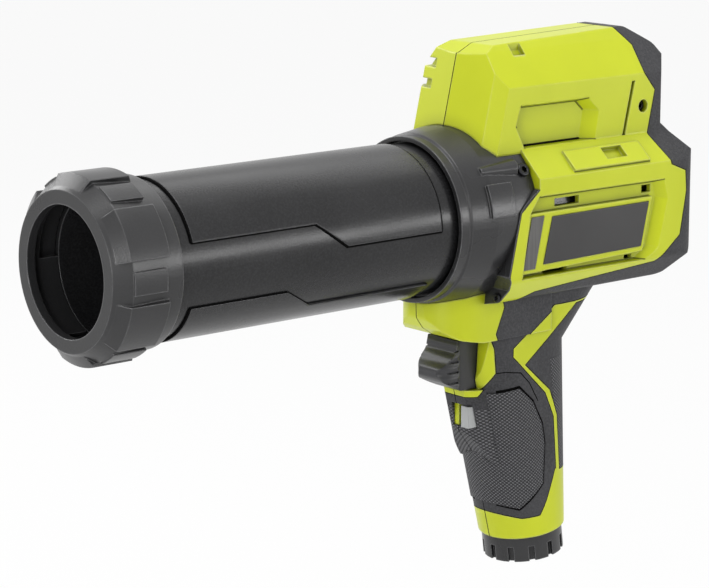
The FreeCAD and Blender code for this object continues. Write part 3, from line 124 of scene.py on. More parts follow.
def rangeNode(tree, value, low, high, fromLow=0.0, fromHigh=1.0):
    node = addNode(tree, "ShaderNodeMapRange", {"clamp": True})
    for place, given in enumerate((value, fromLow, fromHigh, low, high)):
        feed(tree, node.inputs[place], given)
    return node.outputs[0]


def placeOf(tree):
    return addNode(tree, "ShaderNodeTexCoord").outputs["Object"]


def axesOf(tree):
    apart = addNode(tree, "ShaderNodeSeparateXYZ", None, Vector=placeOf(tree))
    return apart.outputs["X"], apart.outputs["Y"], apart.outputs["Z"]


def addNoise(tree, place, scale, detail, roughness=0.5):
    return addNode(
        tree, "ShaderNodeTexNoise", None,
        Vector=place, Scale=scale, Detail=detail, Roughness=roughness,
    ).outputs["Fac"]


def addBump(tree, height, normal, strength, depth):
    bump = addNode(tree, "ShaderNodeBump", None, Height=height, Normal=normal)
    bump.inputs["Strength"].default_value = strength
    bump.inputs["Distance"].default_value = depth
    return bump.outputs[0]


def colourOf(red, green, blue):
    # written as seen on screen, turned by the sRGB curve to the linear values that the shader takes
    def linear(value):
        value = value / 255.0
        return value / 12.92 if value <= 0.04045 else ((value + 0.055) / 1.055) ** 2.4
    return (linear(red), linear(green), linear(blue), 1.0)


# node groups shared by the finishes
handle = dict(lean=0.1334, radius=0.0172)  # its axis runs along x = lean * z
knurl = dict(pitch=0.0014, crest=(-0.7, 0.9), fade=0.0006)
grainPits = 0.5  # share of round pits in the moulding grain


def makeEdgeRoundAndSheen():
    # rounded corners for the light, and a broken mask along them that carries a painted highlight and a
    # lower roughness
    tree, given, made = newGroup(
        "edgeRoundAndSheen",
        [("Radius", 0.0006), ("Gain", 4.0), ("Breakup", 260.0)],
        [("Mask", floatKind), ("Normal", vectorKind)],
    )
    eased = addNode(tree, "ShaderNodeBevel", {"samples": 6}, Radius=given["Radius"])
    flat = addNode(tree, "ShaderNodeNewGeometry")
    dot = addNode(tree, "ShaderNodeVectorMath", {"operation": "DOT_PRODUCT"})
    feed(tree, dot.inputs[0], eased.outputs[0])
    feed(tree, dot.inputs[1], flat.outputs["Normal"])
    bend = mathNode(tree, "SUBTRACT", 1.0, dot.outputs["Value"], True)
    noise = addNoise(tree, placeOf(tree), given["Breakup"], detail=3.0)
    broken = mathNode(tree, "MULTIPLY", bend, noise)
    tree.links.new(mathNode(tree, "MULTIPLY", broken, given["Gain"], True), made["Mask"])
    tree.links.new(eased.outputs[0], made["Normal"])
    return tree


def makeMouldGrain():
    # fine spark-eroded grain of a moulding tool, with a slow drift under it
    tree, given, made = newGroup(
        "mouldGrain",
        [("Scale", 1500.0), ("Drift", 22.0)],
        [("Height", floatKind), ("Speckle", floatKind), ("Drift", floatKind)],
    )
    place = placeOf(tree)
    fine = addNoise(tree, place, given["Scale"], detail=2.0, roughness=0.6)
    cells = addNode(tree, "ShaderNodeTexVoronoi", None, Vector=place, Scale=given["Scale"])
    slow = addNoise(tree, place, given["Drift"], detail=4.0)
    pits = mathNode(tree, "MULTIPLY", cells.outputs["Distance"], grainPits)
    tree.links.new(mathNode(tree, "ADD", fine, pits), made["Height"])
    tree.links.new(fine, made["Speckle"])
    tree.links.new(slow, made["Drift"])
    return tree


def makeCreasePaintedShade():
    # painted shade where surfaces meet, from ambient occlusion
    tree, given, made = newGroup("creasePaintedShade", [("Reach", 0.003), ("Gain", 1.2)], [("Mask", floatKind)])
    near = addNode(tree, "ShaderNodeAmbientOcclusion", {"samples": 8}, Distance=given["Reach"])
    shut = mathNode(tree, "SUBTRACT", 1.0, near.outputs["AO"], True)
    tree.links.new(mathNode(tree, "MULTIPLY", shut, given["Gain"], True), made["Mask"])
    return tree


def makeGripKnurl():
    # small bumps in diagonal rows wound round the leaning handle, kept to a zone of it
    tree, given, made = newGroup(
        "gripKnurl",
        [
            ("Pitch", knurl["pitch"]), ("Radius", handle["radius"]), ("Lean", handle["lean"]),
            ("Front", -1.0), ("Rear", 1.0), ("Low", -1.0), ("High", 1.0),
        ],
        [("Height", floatKind), ("Mask", floatKind)],
    )
    x, y, z = axesOf(tree)
    ahead = mathNode(tree, "SUBTRACT", x, mathNode(tree, "MULTIPLY", z, given["Lean"]))
    arc = mathNode(tree, "MULTIPLY", mathNode(tree, "ARCTAN2", y, ahead), given["Radius"])
    turns = mathNode(tree, "DIVIDE", 2.0 * math.pi, given["Pitch"])
    one = mathNode(tree, "SINE", mathNode(tree, "MULTIPLY", arc, turns))
    two = mathNode(tree, "SINE", mathNode(tree, "MULTIPLY", z, turns))
    wave = rangeNode(tree, mathNode(tree, "MULTIPLY", one, two), 0.0, 1.0, *knurl["crest"])
    zone = 1.0
    ends = ((ahead, "Front", 1.0), (ahead, "Rear", -1.0), (z, "Low", 1.0), (z, "High", -1.0))
    for value, edge, sign in ends:
        past = mathNode(tree, "MULTIPLY", mathNode(tree, "SUBTRACT", value, given[edge]), sign)
        zone = mathNode(tree, "MULTIPLY", zone, rangeNode(tree, past, 0.0, 1.0, 0.0, knurl["fade"]))
    tree.links.new(mathNode(tree, "MULTIPLY", wave, zone), made["Height"])
    tree.links.new(zone, made["Mask"])
    return tree


edgeRoundAndSheen = makeEdgeRoundAndSheen()
mouldGrain = makeMouldGrain()
creasePaintedShade = makeCreasePaintedShade()
gripKnurl = makeGripKnurl()
print("shader groups ready")

# finishes, colours as seen on screen
plain = dict(  # what a finish has unless it says otherwise
    edge=0.0005, edgeSheen=2.0, crease=0.8, creaseReach=0.003, speckle=0.2,
    bump=0.15, metal=0.0, specular=0.5, coat=0.0,
)
softGrip = dict(
    colour=(64, 64, 66), deep=(50, 50, 52), edgeHighlight=(104, 104, 107), shade=(20, 20, 21), speck=(84, 84, 87),
    tip=(128, 128, 131), rough=0.56, grain=1200.0, bump=0.45, speckle=0.5,
    edge=0.0009, edgeSheen=3.5, specular=0.22,
)
blackPlastic = dict(
    colour=(35, 35, 36), deep=(28, 28, 29), edgeHighlight=(108, 108, 110), shade=(9, 9, 9), speck=(58, 58, 60),
    rough=0.24, grain=1300.0, bump=0.09, speckle=0.35,
    crease=1.1, edge=0.0008, edgeSheen=3.5, specular=0.3,
)
finishes = {
    "lime": dict(
        colour=(204, 214, 34), deep=(197, 207, 28), edgeHighlight=(232, 237, 140), shade=(96, 102, 8),
        rough=0.34, specular=0.36, grain=1700.0, bump=0.08, speckle=0.10,
        crease=0.95, creaseReach=0.007, edge=0.0011, edgeSheen=4.5,
    ),
    "black_plastic": blackPlastic,
    "satinBlack": dict(
        blackPlastic, colour=(48, 48, 49), deep=(40, 40, 41), edgeHighlight=(150, 150, 152),
        rough=0.28, bump=0.12, speckle=0.2, specular=0.4,
    ),
    "soft_grip": dict(softGrip, knurl=dict(Front=0.0105, Low=-0.0225, High=0.0125)),
    "gripPad": dict(softGrip, knurl=dict()),
    "gripStrap": dict(softGrip, knurl=dict(Rear=-0.0075, Low=-0.030, High=0.030)),
    "fingerPlastic": dict(
        blackPlastic, colour=(64, 64, 66), deep=(54, 54, 56), rough=0.36,
        waves=0.0042, waveRear=0.0355,
    ),
    "plate": dict(
        colour=(44, 43, 43), deep=(38, 37, 37), edgeHighlight=(70, 70, 70), shade=(16, 16, 16),
        rough=0.34, grain=2400.0, bump=0.06,
    ),
    "smoked": dict(
        colour=(84, 82, 80), deep=(62, 60, 58), edgeHighlight=(150, 148, 144), shade=(24, 23, 22),
        rough=0.16, grain=900.0, bump=0.02, speckle=0.1, coat=0.6, streaks=420.0, tip=(92, 91, 89),
    ),
    "grey_plastic": dict(
        colour=(182, 184, 184), deep=(170, 172, 172), edgeHighlight=(206, 208, 208), shade=(70, 70, 70),
        rough=0.42, grain=1900.0, bump=0.12, speckle=0.15,
    ),
    "darkSteel": dict(
        colour=(58, 58, 60), deep=(44, 44, 46), edgeHighlight=(120, 120, 122), shade=(8, 8, 8),
        rough=0.34, grain=1400.0, bump=0.08, metal=0.9,
    ),
    "seamShade": dict(
        colour=(12, 12, 12), deep=(8, 8, 8), edgeHighlight=(14, 14, 14), shade=(4, 4, 4),
        rough=0.85, specular=0.04, grain=1500.0, bump=0.1,
    ),
    "limeShade": dict(
        colour=(120, 127, 12), deep=(104, 110, 8), edgeHighlight=(130, 137, 20), shade=(60, 64, 4),
        rough=0.6, grain=1500.0, bump=0.1,
    ),
    "steel": dict(
        colour=(176, 178, 182), deep=(150, 152, 156), edgeHighlight=(214, 216, 220), shade=(60, 60, 62),
        rough=0.3, grain=1400.0, bump=0.06, metal=1.0,
    ),
    "zinc": dict(
        colour=(168, 168, 164), deep=(146, 146, 142), edgeHighlight=(206, 206, 202), shade=(64, 64, 62),
        rough=0.42, grain=900.0, bump=0.12, metal=1.0, speckle=0.3,
    ),
    "bronze": dict(
        colour=(176, 132, 84), deep=(150, 108, 66), edgeHighlight=(212, 172, 120), shade=(70, 50, 30),
        rough=0.36, grain=1200.0, bump=0.1, metal=1.0, speckle=0.3,
    ),
    "acetal": dict(
        colour=(222, 220, 212), deep=(208, 206, 198), edgeHighlight=(240, 238, 232), shade=(110, 108, 104),
        rough=0.45, grain=1600.0, bump=0.06, speckle=0.1,
    ),
    "board": dict(
        colour=(28, 92, 58), deep=(20, 74, 46), edgeHighlight=(90, 130, 90), shade=(8, 30, 18),
        rough=0.4, grain=1100.0, bump=0.1, speckle=0.3,
    ),
    "wiper": dict(
        colour=(40, 40, 42), deep=(30, 30, 32), edgeHighlight=(62, 62, 64), shade=(12, 12, 12),
        rough=0.66, grain=1500.0, speckle=0.3,
    ),
}
ownFinish = {  # nodes whose finish isn't that of their material slot
    "locking_ring": "satinBlack",
    "nose_collar": "satinBlack",
    "battery_cap": "satinBlack",
    # the motor and gearhead in dark steel so that the slots in front of them look dark, a painted shade
    "motor": "darkSteel",
    "gearhead": "darkSteel",
    "trigger": "fingerPlastic",
    "left_grip_pad": "gripPad",
    "right_grip_pad": "gripPad",
    "grip_backstrap": "gripStrap",
    "nose_screws": "darkSteel",
    "housing_screws": "darkSteel",
}
effect = dict(  # how strongly each effect shows
    toneRange=(0.35, 0.65), speckRange=(0.4, 0.7), grainDepth=0.0003,
    knurlShade=0.75, tipShow=0.9, tipRange=(0.35, 0.95), knurlBump=0.9, knurlDepth=0.00045,
    waveFade=0.002, waveDepth=0.0006,
    streakStretch=0.04, streakShow=0.8, streakRange=(0.5, 0.72),
    roughSpread=0.05, roughRange=(0.3, 0.7), polish=0.08, coatRough=0.06,
)


def addKnurl(tree, look, colour, normal):
    bumps = addGroup(tree, gripKnurl, **look["knurl"]).outputs
    inside = mathNode(tree, "MULTIPLY", bumps["Mask"], effect["knurlShade"])
    colour = mixColour(tree, inside, colour, colourOf(*look["deep"]))
    # the tips of the bumps painted lighter, a painted highlight
    tips = rangeNode(tree, bumps["Height"], 0.0, effect["tipShow"], *effect["tipRange"])
    colour = mixColour(tree, tips, colour, colourOf(*look["tip"]))
    return colour, addBump(tree, bumps["Height"], normal, effect["knurlBump"], effect["knurlDepth"])


def addWaves(tree, look, normal):
    # finger waves on the trigger's front
    x, _, z = axesOf(tree)
    swing = mathNode(tree, "SINE", mathNode(tree, "MULTIPLY", z, 2.0 * math.pi / look["waves"]))
    near = rangeNode(tree, x, 0.0, 1.0, look["waveRear"], look["waveRear"] + effect["waveFade"])
    rise = mathNode(tree, "MULTIPLY", rangeNode(tree, swing, 0.0, 1.0, -1.0, 1.0), near)
    return addBump(tree, rise, normal, 1.0, effect["waveDepth"])


def addStreaks(tree, look, colour):
    # upright streaks in the smoked window
    x, _, z = axesOf(tree)
    slow = mathNode(tree, "MULTIPLY", z, effect["streakStretch"])
    along = addNode(tree, "ShaderNodeCombineXYZ", None, X=x, Y=slow)
    bands = addNoise(tree, along.outputs[0], look["streaks"], detail=2.0)
    pale = rangeNode(tree, bands, 0.0, effect["streakShow"], *effect["streakRange"])
    return mixColour(tree, pale, colour, colourOf(*look["tip"]))


def makeFinish(name, own):
    look = dict(plain, **own)
    material = bpy.data.materials.new(name)
    material.use_nodes = True
    tree = material.node_tree
    shader = tree.nodes["Principled BSDF"]
    edgeSheen = addGroup(tree, edgeRoundAndSheen, Radius=look["edge"], Gain=look["edgeSheen"]).outputs
    grain = addGroup(tree, mouldGrain, Scale=look["grain"]).outputs
    crease = addGroup(tree, creasePaintedShade, Reach=look["creaseReach"], Gain=look["crease"]).outputs
    tone = rangeNode(tree, grain["Drift"], 0.0, 1.0, *effect["toneRange"])
    colour = mixColour(tree, tone, colourOf(*look["deep"]), colourOf(*look["colour"]))
    specks = rangeNode(tree, grain["Speckle"], 0.0, look["speckle"], *effect["speckRange"])
    colour = mixColour(tree, specks, colour, colourOf(*look.get("speck", look["deep"])))
    normal = edgeSheen["Normal"]
    if "knurl" in look:
        colour, normal = addKnurl(tree, look, colour, normal)
    if "waves" in look:
        normal = addWaves(tree, look, normal)
    if "streaks" in look:
        colour = addStreaks(tree, look, colour)
    # painted highlight along the rounded edges
    colour = mixColour(tree, edgeSheen["Mask"], colour, colourOf(*look["edgeHighlight"]))
    # painted shade in creases and recesses
    colour = mixColour(tree, crease["Mask"], colour, colourOf(*look["shade"]))
    tree.links.new(colour, shader.inputs["Base Color"])
    smooth = look["rough"] - effect["roughSpread"]
    coarse = look["rough"] + effect["roughSpread"]
    rough = rangeNode(tree, grain["Drift"], smooth, coarse, *effect["roughRange"])
    polish = mathNode(tree, "MULTIPLY", edgeSheen["Mask"], effect["polish"])
    tree.links.new(mathNode(tree, "SUBTRACT", rough, polish, True), shader.inputs["Roughness"])
    normal = addBump(tree, grain["Height"], normal, look["bump"], effect["grainDepth"])
    tree.links.new(normal, shader.inputs["Normal"])
    shader.inputs["Metallic"].default_value = look["metal"]
    shader.inputs["Specular IOR Level"].default_value = look["specular"]
    shader.inputs["Coat Weight"].default_value = look["coat"]
    shader.inputs["Coat Roughness"].default_value = effect["coatRough"]
    return material


materials = {name: makeFinish(name, look) for name, look in finishes.items()}
for entry in frame["record"]["subparts"]:
    node = nodes[entry["node"]]
    node.data.materials.clear()
    node.data.materials.append(materials[ownFinish.get(entry["node"], entry["material_slot"])])
print("finishes:", len(materials), "on", len(nodes), "nodes")

# mesh pieces that ride on the solids
skins = ["left_housing", "right_housing"]
softSkins = ["left_overmould", "right_overmould"]
barrelHeight = sum(corner.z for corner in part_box("barrel_tube")) / 2.0
weldGap = 1e-6  # points nearer than this are one


def addPiece(name, mesh, finish):
    piece = bpy.data.objects.new(name, mesh)
    bpy.context.scene.collection.objects.link(piece)
    mesh.materials.append(materials[finish])
    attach(piece, "housing")
    return piece


def addMesh(name, points, faces, finish):
    mesh = bpy.data.meshes.new(name)
    mesh.from_pydata(points, [], faces)
    return addPiece(name, mesh, finish)


def addPrism(faces, base, sides):
    # walls and ends of a bar between two rings of points, the first of which starts at base
    for i in range(sides):
        j = (i + 1) % sides
        faces.append([base + i, base + j, base + sides + j, base + sides + i])
    faces.append([base + sides - 1 - i for i in range(sides)])
    faces.append([base + sides + i for i in range(sides)])


def inBox(point):
    return Vector(min(max(point[i], cadBox[0][i]), cadBox[1][i]) for i in range(3))


def joinedMesh(node):
    work = bmesh.new()
    work.from_mesh(nodes[node].data)
    bmesh.ops.remove_doubles(work, verts=work.verts, dist=weldGap)
    work.normal_update()
    return work


def treeOf(names):
    points = []
    faces = []
    for name in names:
        base = len(points)
        mesh = nodes[name].data
        points.extend(vertex.co.copy() for vertex in mesh.vertices)
        faces.extend([base + index for index in face.vertices] for face in mesh.polygons)
    return BVHTree.FromPolygons(points, faces)


# shadow lines where two mouldings meet flush
seam = dict(
    halfWidth=0.00021, sink=0.0001, proud=0.00003, crown=0.7, overlap=0.6,
    reach=0.0005, probe=0.001, level=0.00025, facing=0.6, sharp=math.radians(40),
)


def isSharp(edge):
    return len(edge.link_faces) == 2 and edge.calc_face_angle(0.0) >= seam["sharp"]


def outward(edge, face):
    # along the face and away from it, square to the edge
    first, second = edge.verts[0].co, edge.verts[1].co
    across = face.normal.cross(second - first).normalized()
    inward = across.dot(face.calc_center_median() - (first + second) / 2.0) > 0.0
    return -across if inward else across


def flushEdges(node, neighbours):
    # sharp edges of a moulding beside which a neighbour's skin carries on at the same level
    work = joinedMesh(node)
    skin = treeOf(neighbours)
    found = []
    for edge in work.edges:
        if not isSharp(edge):
            continue
        first, second = edge.verts[0].co, edge.verts[1].co
        for face in edge.link_faces:
            across = outward(edge, face)
            start = (first + second) / 2.0 + across * seam["reach"] + face.normal * seam["probe"]
            hit, normal, _, distance = skin.ray_cast(start, -face.normal, 2.0 * seam["probe"])
            if hit is None or normal.dot(face.normal) < seam["facing"]:
                continue
            if abs(distance - seam["probe"]) <= seam["level"]:
                found.append((first.copy(), second.copy(), face.normal.copy(), across))
                break
    work.free()
    return found


def innerCorners(node, width):
    # the foot of each step in a moulding's skin
    work = joinedMesh(node)
    found = []
    for edge in work.edges:
        if not isSharp(edge) or edge.is_convex:
            continue
        one, two = (face.normal for face in edge.link_faces)
        lift = (one + two).normalized() * seam["halfWidth"] * width
        ends = [vertex.co + lift for vertex in edge.verts]
        found.append((ends[0], ends[1], lift.normalized(), (one - two).normalized()))
    work.free()
    return found


def makeSeam(name, runs, width=1.0, finish="seamShade"):
    half = seam["halfWidth"] * width
    crown = seam["crown"]
    low = -seam["sink"]
    high = seam["proud"]
    profile = ((-1.0, low), (-crown, high), (crown, high), (1.0, low))
    points = []
    faces = []
    for first, second, normal, across in runs:
        overlap = (second - first).normalized() * half * seam["overlap"]
        base = len(points)
        for end in (first - overlap, second + overlap):
            for side, lift in profile:
                points.append(inBox(end + across * side * half + normal * lift))
        addPrism(faces, base, len(profile))
    addMesh(name, points, faces, finish)
    print(name, len(runs), "runs")


makeSeam("leftGripSeam", flushEdges("left_overmould", skins))
makeSeam("rightGripSeam", flushEdges("right_overmould", skins))
makeSeam("strapSeam", flushEdges("grip_backstrap", skins + softSkins))
makeSeam("partingLine", flushEdges("left_housing", ["right_housing"]))
makeSeam("gripPartingLine", flushEdges("left_overmould", ["right_overmould"]))

# dark strip painted round each textured pad of the handle, a painted shadow along its rim
padShadow = dict(
    front=0.0186, inner=0.0002, outer=0.0010, lift=0.00004, tuck=0.0003,
    facing=0.7, overlap=0.4, probe=0.004, count=5,
)


def padEdges(node):
    # the outer rim of a pad, without its front end
    work = joinedMesh(node)
    found = []
    for edge in work.edges:
        if not isSharp(edge):
            continue
        first, second = edge.verts[0].co, edge.verts[1].co
        middle = (first + second) / 2.0
        ahead = middle.x - middle.z * handle["lean"]
        out = Vector((ahead, middle.y, 0.0)).normalized()
        face = max(edge.link_faces, key=lambda face: face.normal.dot(out))
        if face.normal.dot(out) < padShadow["facing"] or ahead > padShadow["front"]:
            continue
        found.append((first.copy(), second.copy(), face.normal.copy(), outward(edge, face)))
    work.free()
    return found


def makePadShadow(name, runs, names):
    skin = treeOf(names)
    count = padShadow["count"]
    points = []
    faces = []
    for first, second, normal, across in runs:
        overlap = (second - first).normalized() * padShadow["outer"] * padShadow["overlap"]
        base = len(points)
        for end in (first - overlap, second + overlap):
            top = []
            for i in range(count):
                share = i / (count - 1)
                at = end + across * (padShadow["outer"] * share - padShadow["inner"] * (1.0 - share))
                eye = at + normal * padShadow["probe"]
                hit = skin.ray_cast(eye, -normal, 2.0 * padShadow["probe"])[0]
                top.append((at if hit is None else hit) + normal * padShadow["lift"])
            points.extend(top)
            points.extend(point - normal * padShadow["tuck"] for point in reversed(top))
        addPrism(faces, base, 2 * count)
    addMesh(name, points, faces, "seamShade")
    print(name, len(runs), "runs")


# a painted shadow line across the soft grip above the pads, as x and z in side view
gripLine = dict(
    line=[(0.0235, 0.0268), (0.0187, 0.0272), (0.0120, 0.0262), (0.0072, 0.0215), (0.0020, 0.0128)],
    steps=12, clear=0.1, gap=0.002, width=1.3,
)


def gripLineRuns(side):
    # the line laid on the soft grip's skin from one side
    skin = treeOf(softSkins)
    sign = 1.0 if side == "left" else -1.0
    spots = []
    for start, end in zip(gripLine["line"], gripLine["line"][1:]):
        for i in range(gripLine["steps"]):
            share = i / gripLine["steps"]
            x, z = (start[k] + (end[k] - start[k]) * share for k in (0, 1))
            eye = Vector((x, sign * gripLine["clear"], z))
            hit, normal = skin.ray_cast(eye, Vector((0.0, -sign, 0.0)))[:2]
            if hit is not None:
                spots.append((hit, normal))
    runs = []
    for (first, normal), (second, _) in zip(spots, spots[1:]):
        if (second - first).length < gripLine["gap"]:
            runs.append((first, second, normal, normal.cross(second - first).normalized()))
    return runs


# painted shade in the steps of the housing, and a painted shadow line along the foot of the sunk panel on
# the hump
cornerShade = dict(width=1.4, humpSide=0.0200, humpFoot=0.1155, bodySide=0.0312, lowest=0.064)
panelFootShadow = dict(width=2.6, near=0.0198, far=0.0216, height=0.1166, slack=0.0012)


def isPanelFoot(run):
    # the lower edge of the sunk panel on the hump
    def isNear(end):
        level = abs(end.z - panelFootShadow["height"]) < panelFootShadow["slack"]
        return level and panelFootShadow["near"] < abs(end.y) < panelFootShadow["far"]
    return all(isNear(end) for end in run[:2])


def isOuter(run):
    # corners that lie open on the sides of the body and the hump
    def isOpen(end):
        side = cornerShade["humpSide"] if end.z > cornerShade["humpFoot"] else cornerShade["bodySide"]
        return abs(end.y) > side and end.z > cornerShade["lowest"]
    return all(isOpen(end) for end in run[:2])


def makeCorners(side):
    corners = innerCorners(side + "_housing", cornerShade["width"])
    outer = [run for run in corners if isOuter(run) and not isPanelFoot(run)]
    makeSeam(side + "CornerShade", outer, cornerShade["width"], "limeShade")
    # painted shadow line along the foot of the sunk panel
    footShadows = [run for run in innerCorners(side + "_housing", panelFootShadow["width"]) if isPanelFoot(run)]
    makeSeam(side + "HumpShadowLine", footShadows, panelFootShadow["width"])


for side in ("left", "right"):
    pad = side + "_grip_pad"
    makePadShadow(side + "PadShadow", padEdges(pad), softSkins + [pad])
    makeSeam(side + "GripLine", gripLineRuns(side), gripLine["width"])
    makeCorners(side)

# painted shadow strip in the corner beside each raised panel of the barrel
panelStepShade = dict(
    width=0.0009, height=0.00074, inside=0.027,
    tuck=0.00005, crest=(0.75, 0.8), overlap=0.3, steep=0.7,
)


def makePanelStepShade():
    work = joinedMesh("barrel_tube")
    points = []
    faces = []
    for edge in work.edges:
        if not isSharp(edge) or edge.is_convex:
            continue
        first, second = edge.verts[0].co, edge.verts[1].co
        middle = (first + second) / 2.0
        out = Vector((0.0, middle.y, middle.z - barrelHeight))
        if out.length < panelStepShade["inside"]:
            continue
        out.normalize()
        normals = [face.normal for face in edge.link_faces]
        skin, wall = sorted(normals, key=lambda normal: -normal.dot(out))
        if abs(wall.dot(out)) > panelStepShade["steep"]:
            continue
        overlap = (second - first).normalized() * panelStepShade["width"] * panelStepShade["overlap"]
        away = wall * panelStepShade["width"]
        rise = skin * panelStepShade["height"]
        crest = away * panelStepShade["crest"][0] + rise * panelStepShade["crest"][1]
        tuck = wall * panelStepShade["tuck"]
        profile = [-tuck, away, crest, rise - tuck]
        base = len(points)
        for end in (first - overlap, second + overlap):
            points.extend(end + offset for offset in profile)
        addPrism(faces, base, len(profile))
    work.free()
    addMesh("barrelPanelShade", points, faces, "seamShade")
    print("barrelPanelShade", len(points), "points")


makePanelStepShade()

# black skirt of the collar over the front wall of the body, on each side of the barrel
skirt = dict(forward=0.45, low=(0.020, 0.016, 0.054), high=(0.041, 0.036, 0.1125), thick=0.0005)


def makeSkirt(side):
    name = side + "CollarSkirt"
    work = joinedMesh(side + "_housing")
    rest = []
    for face in work.faces:
        middle = face.calc_center_median()
        spot = (middle.x, abs(middle.y), middle.z)
        inside = all(skirt["low"][i] < spot[i] < skirt["high"][i] for i in range(3))
        if not inside or face.normal.x < skirt["forward"]:
            rest.append(face)
    bmesh.ops.delete(work, geom=rest, context="FACES")
    count = len(work.faces)
    work.normal_update()
    for vertex in work.verts:
        vertex.co += vertex.normal * skirt["thick"] * 0.5
    bmesh.ops.solidify(work, geom=work.faces[:], thickness=skirt["thick"])
    mesh = bpy.data.meshes.new(name)
    work.to_mesh(mesh)
    work.free()
    addPiece(name, mesh, "satinBlack")
    print(name, count, "faces")


for side in ("left", "right"):
    makeSkirt(side)

# screw heads with a six-lobed socket in place of the plain ones, in shares of the head's radius
screw = dict(
    segments=48, socket=0.5, lobes=6, lobe=0.14, floor=0.9, depth=0.55,
    face=0.02, flat=0.78, shoulder=0.93, slope=0.08, dome=0.16,
)


def islandsOf(node):
    # the points of each separate screw in a node
    work = joinedMesh(node)
    seen = set()
    groups = []
    for start in work.verts:
        if start in seen:
            continue
        seen.add(start)
        queue = [start]
        group = []
        while queue:
            vertex = queue.pop()
            group.append(vertex.co.copy())
            for edge in vertex.link_edges:
                other = edge.other_vert(vertex)
                if other not in seen:
                    seen.add(other)
                    queue.append(other)
        groups.append(group)
    work.free()
    return groups


def screwRings(points, faces, group, axis):
    # a head with the radius and the two ends of the given points
    middle = sum(group, Vector()) / len(group)
    heights = [(point - middle).dot(axis) for point in group]
    radius = max(((point - middle) - axis * (point - middle).dot(axis)).length for point in group)
    top = middle + axis * max(heights)
    side = axis.orthogonal().normalized()
    other = axis.cross(side)
    rings = [
        (screw["floor"], -screw["depth"] * radius, True),
        (1.0, -screw["face"] * radius, True),
        (screw["flat"], -screw["face"] * radius, False),
        (screw["shoulder"], -screw["slope"] * radius, False),
        (1.0, -screw["dome"] * radius, False),
        (1.0, min(heights) - max(heights), False),
    ]
    count = screw["segments"]
    base = len(points)
    points.append(top - axis * screw["depth"] * radius)
    for share, height, lobed in rings:
        for i in range(count):
            angle = 2.0 * math.pi * i / count
            reach = share * radius
            if lobed:
                reach *= screw["socket"] * (1.0 + screw["lobe"] * math.cos(screw["lobes"] * angle))
            out = side * math.cos(angle) + other * math.sin(angle)
            points.append(top + out * reach + axis * height)
    for i in range(count):
        j = (i + 1) % count
        faces.append([base, base + 1 + i, base + 1 + j])
        for ring in range(len(rings) - 1):
            low = base + 1 + ring * count
            faces.append([low + i, low + count + i, low + count + j, low + j])
    faces.append([base + 1 + (len(rings) - 1) * count + i for i in range(count)][::-1])


def makeScrews(name, node, axisOf):
    points = []
    faces = []
    for group in islandsOf(node):
        middle = sum(group, Vector()) / len(group)
        screwRings(points, faces, group, axisOf(middle).normalized())
    piece = addMesh(name, [inBox(point) for point in points], faces, "darkSteel")
    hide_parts(node)
    print(name, "made")


makeScrews("collarScrews", "nose_screws", lambda at: Vector((0.0, at.y, at.z - barrelHeight)))
makeScrews("humpScrews", "housing_screws", lambda at: Vector((0.0, at.y, 0.0)))

# the lower screw in each side of the collar's skirt
skirtScrew = dict(
    ahead=0.06, off=0.0256, height=0.0604,
    radius=0.0018, below=0.0004, above=0.0012, count=12,
)


def makeSkirtScrews():
    skin = treeOf(skins)
    points = []
    faces = []
    for sign in (1.0, -1.0):
        start = Vector((skirtScrew["ahead"], sign * skirtScrew["off"], skirtScrew["height"]))
        seat, axis = skin.ray_cast(start, Vector((-1.0, 0.0, 0.0)))[:2]
        side = axis.orthogonal().normalized()
        other = axis.cross(side)
        group = []
        for i in range(skirtScrew["count"]):
            angle = 2.0 * math.pi * i / skirtScrew["count"]
            rim = seat + (side * math.cos(angle) + other * math.sin(angle)) * skirtScrew["radius"]
            group.extend([rim - axis * skirtScrew["below"], rim + axis * skirtScrew["above"]])
        screwRings(points, faces, group, axis)
    addMesh("skirtScrews", points, faces, "darkSteel")
    print("skirtScrews made")


makeSkirtScrews()

# coil spring behind the trigger, with closed ends
coil = dict(turns=3, closed=1.0, wire=0.0003, steps=26, sides=8, travel=0.006)


def makeSpring():
    low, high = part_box("trigger_spring")
    middle = (low + high) / 2.0
    wire = coil["wire"]
    closed = coil["closed"]
    sides = coil["sides"]
    radius = (high.z - low.z) / 2.0 - wire
    total = coil["turns"] + 2.0 * closed
    openLength = high.x - low.x - 2.0 * wire - 4.0 * wire * closed  # without the closed ends
    count = int(total * coil["steps"])
    points = []
    faces = []
    for i in range(count + 1):
        turn = total * i / count
        share = min(max((turn - closed) / coil["turns"], 0.0), 1.0)
        flat = 2.0 * wire * (min(turn, closed) + max(turn - closed - coil["turns"], 0.0))
        angle = 2.0 * math.pi * turn
        out = Vector((0.0, math.cos(angle), math.sin(angle)))
        centre = Vector((low.x + wire + flat + share * openLength, middle.y, middle.z)) + out * radius
        for k in range(sides):
            around = 2.0 * math.pi * k / sides
            points.append(centre + (out * math.cos(around) + Vector((math.sin(around), 0.0, 0.0))) * wire)
    for i in range(count):
        for k in range(sides):
            j = (k + 1) % sides
            faces.append([i * sides + k, i * sides + j, (i + 1) * sides + j, (i + 1) * sides + k])
    faces.append(list(range(sides))[::-1])
    faces.append([count * sides + k for k in range(sides)])
    piece = addMesh("triggerCoil", points, faces, "steel")
    for face in piece.data.polygons:
        face.use_smooth = True
    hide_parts("trigger_spring")
    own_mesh(piece)


makeSpring()

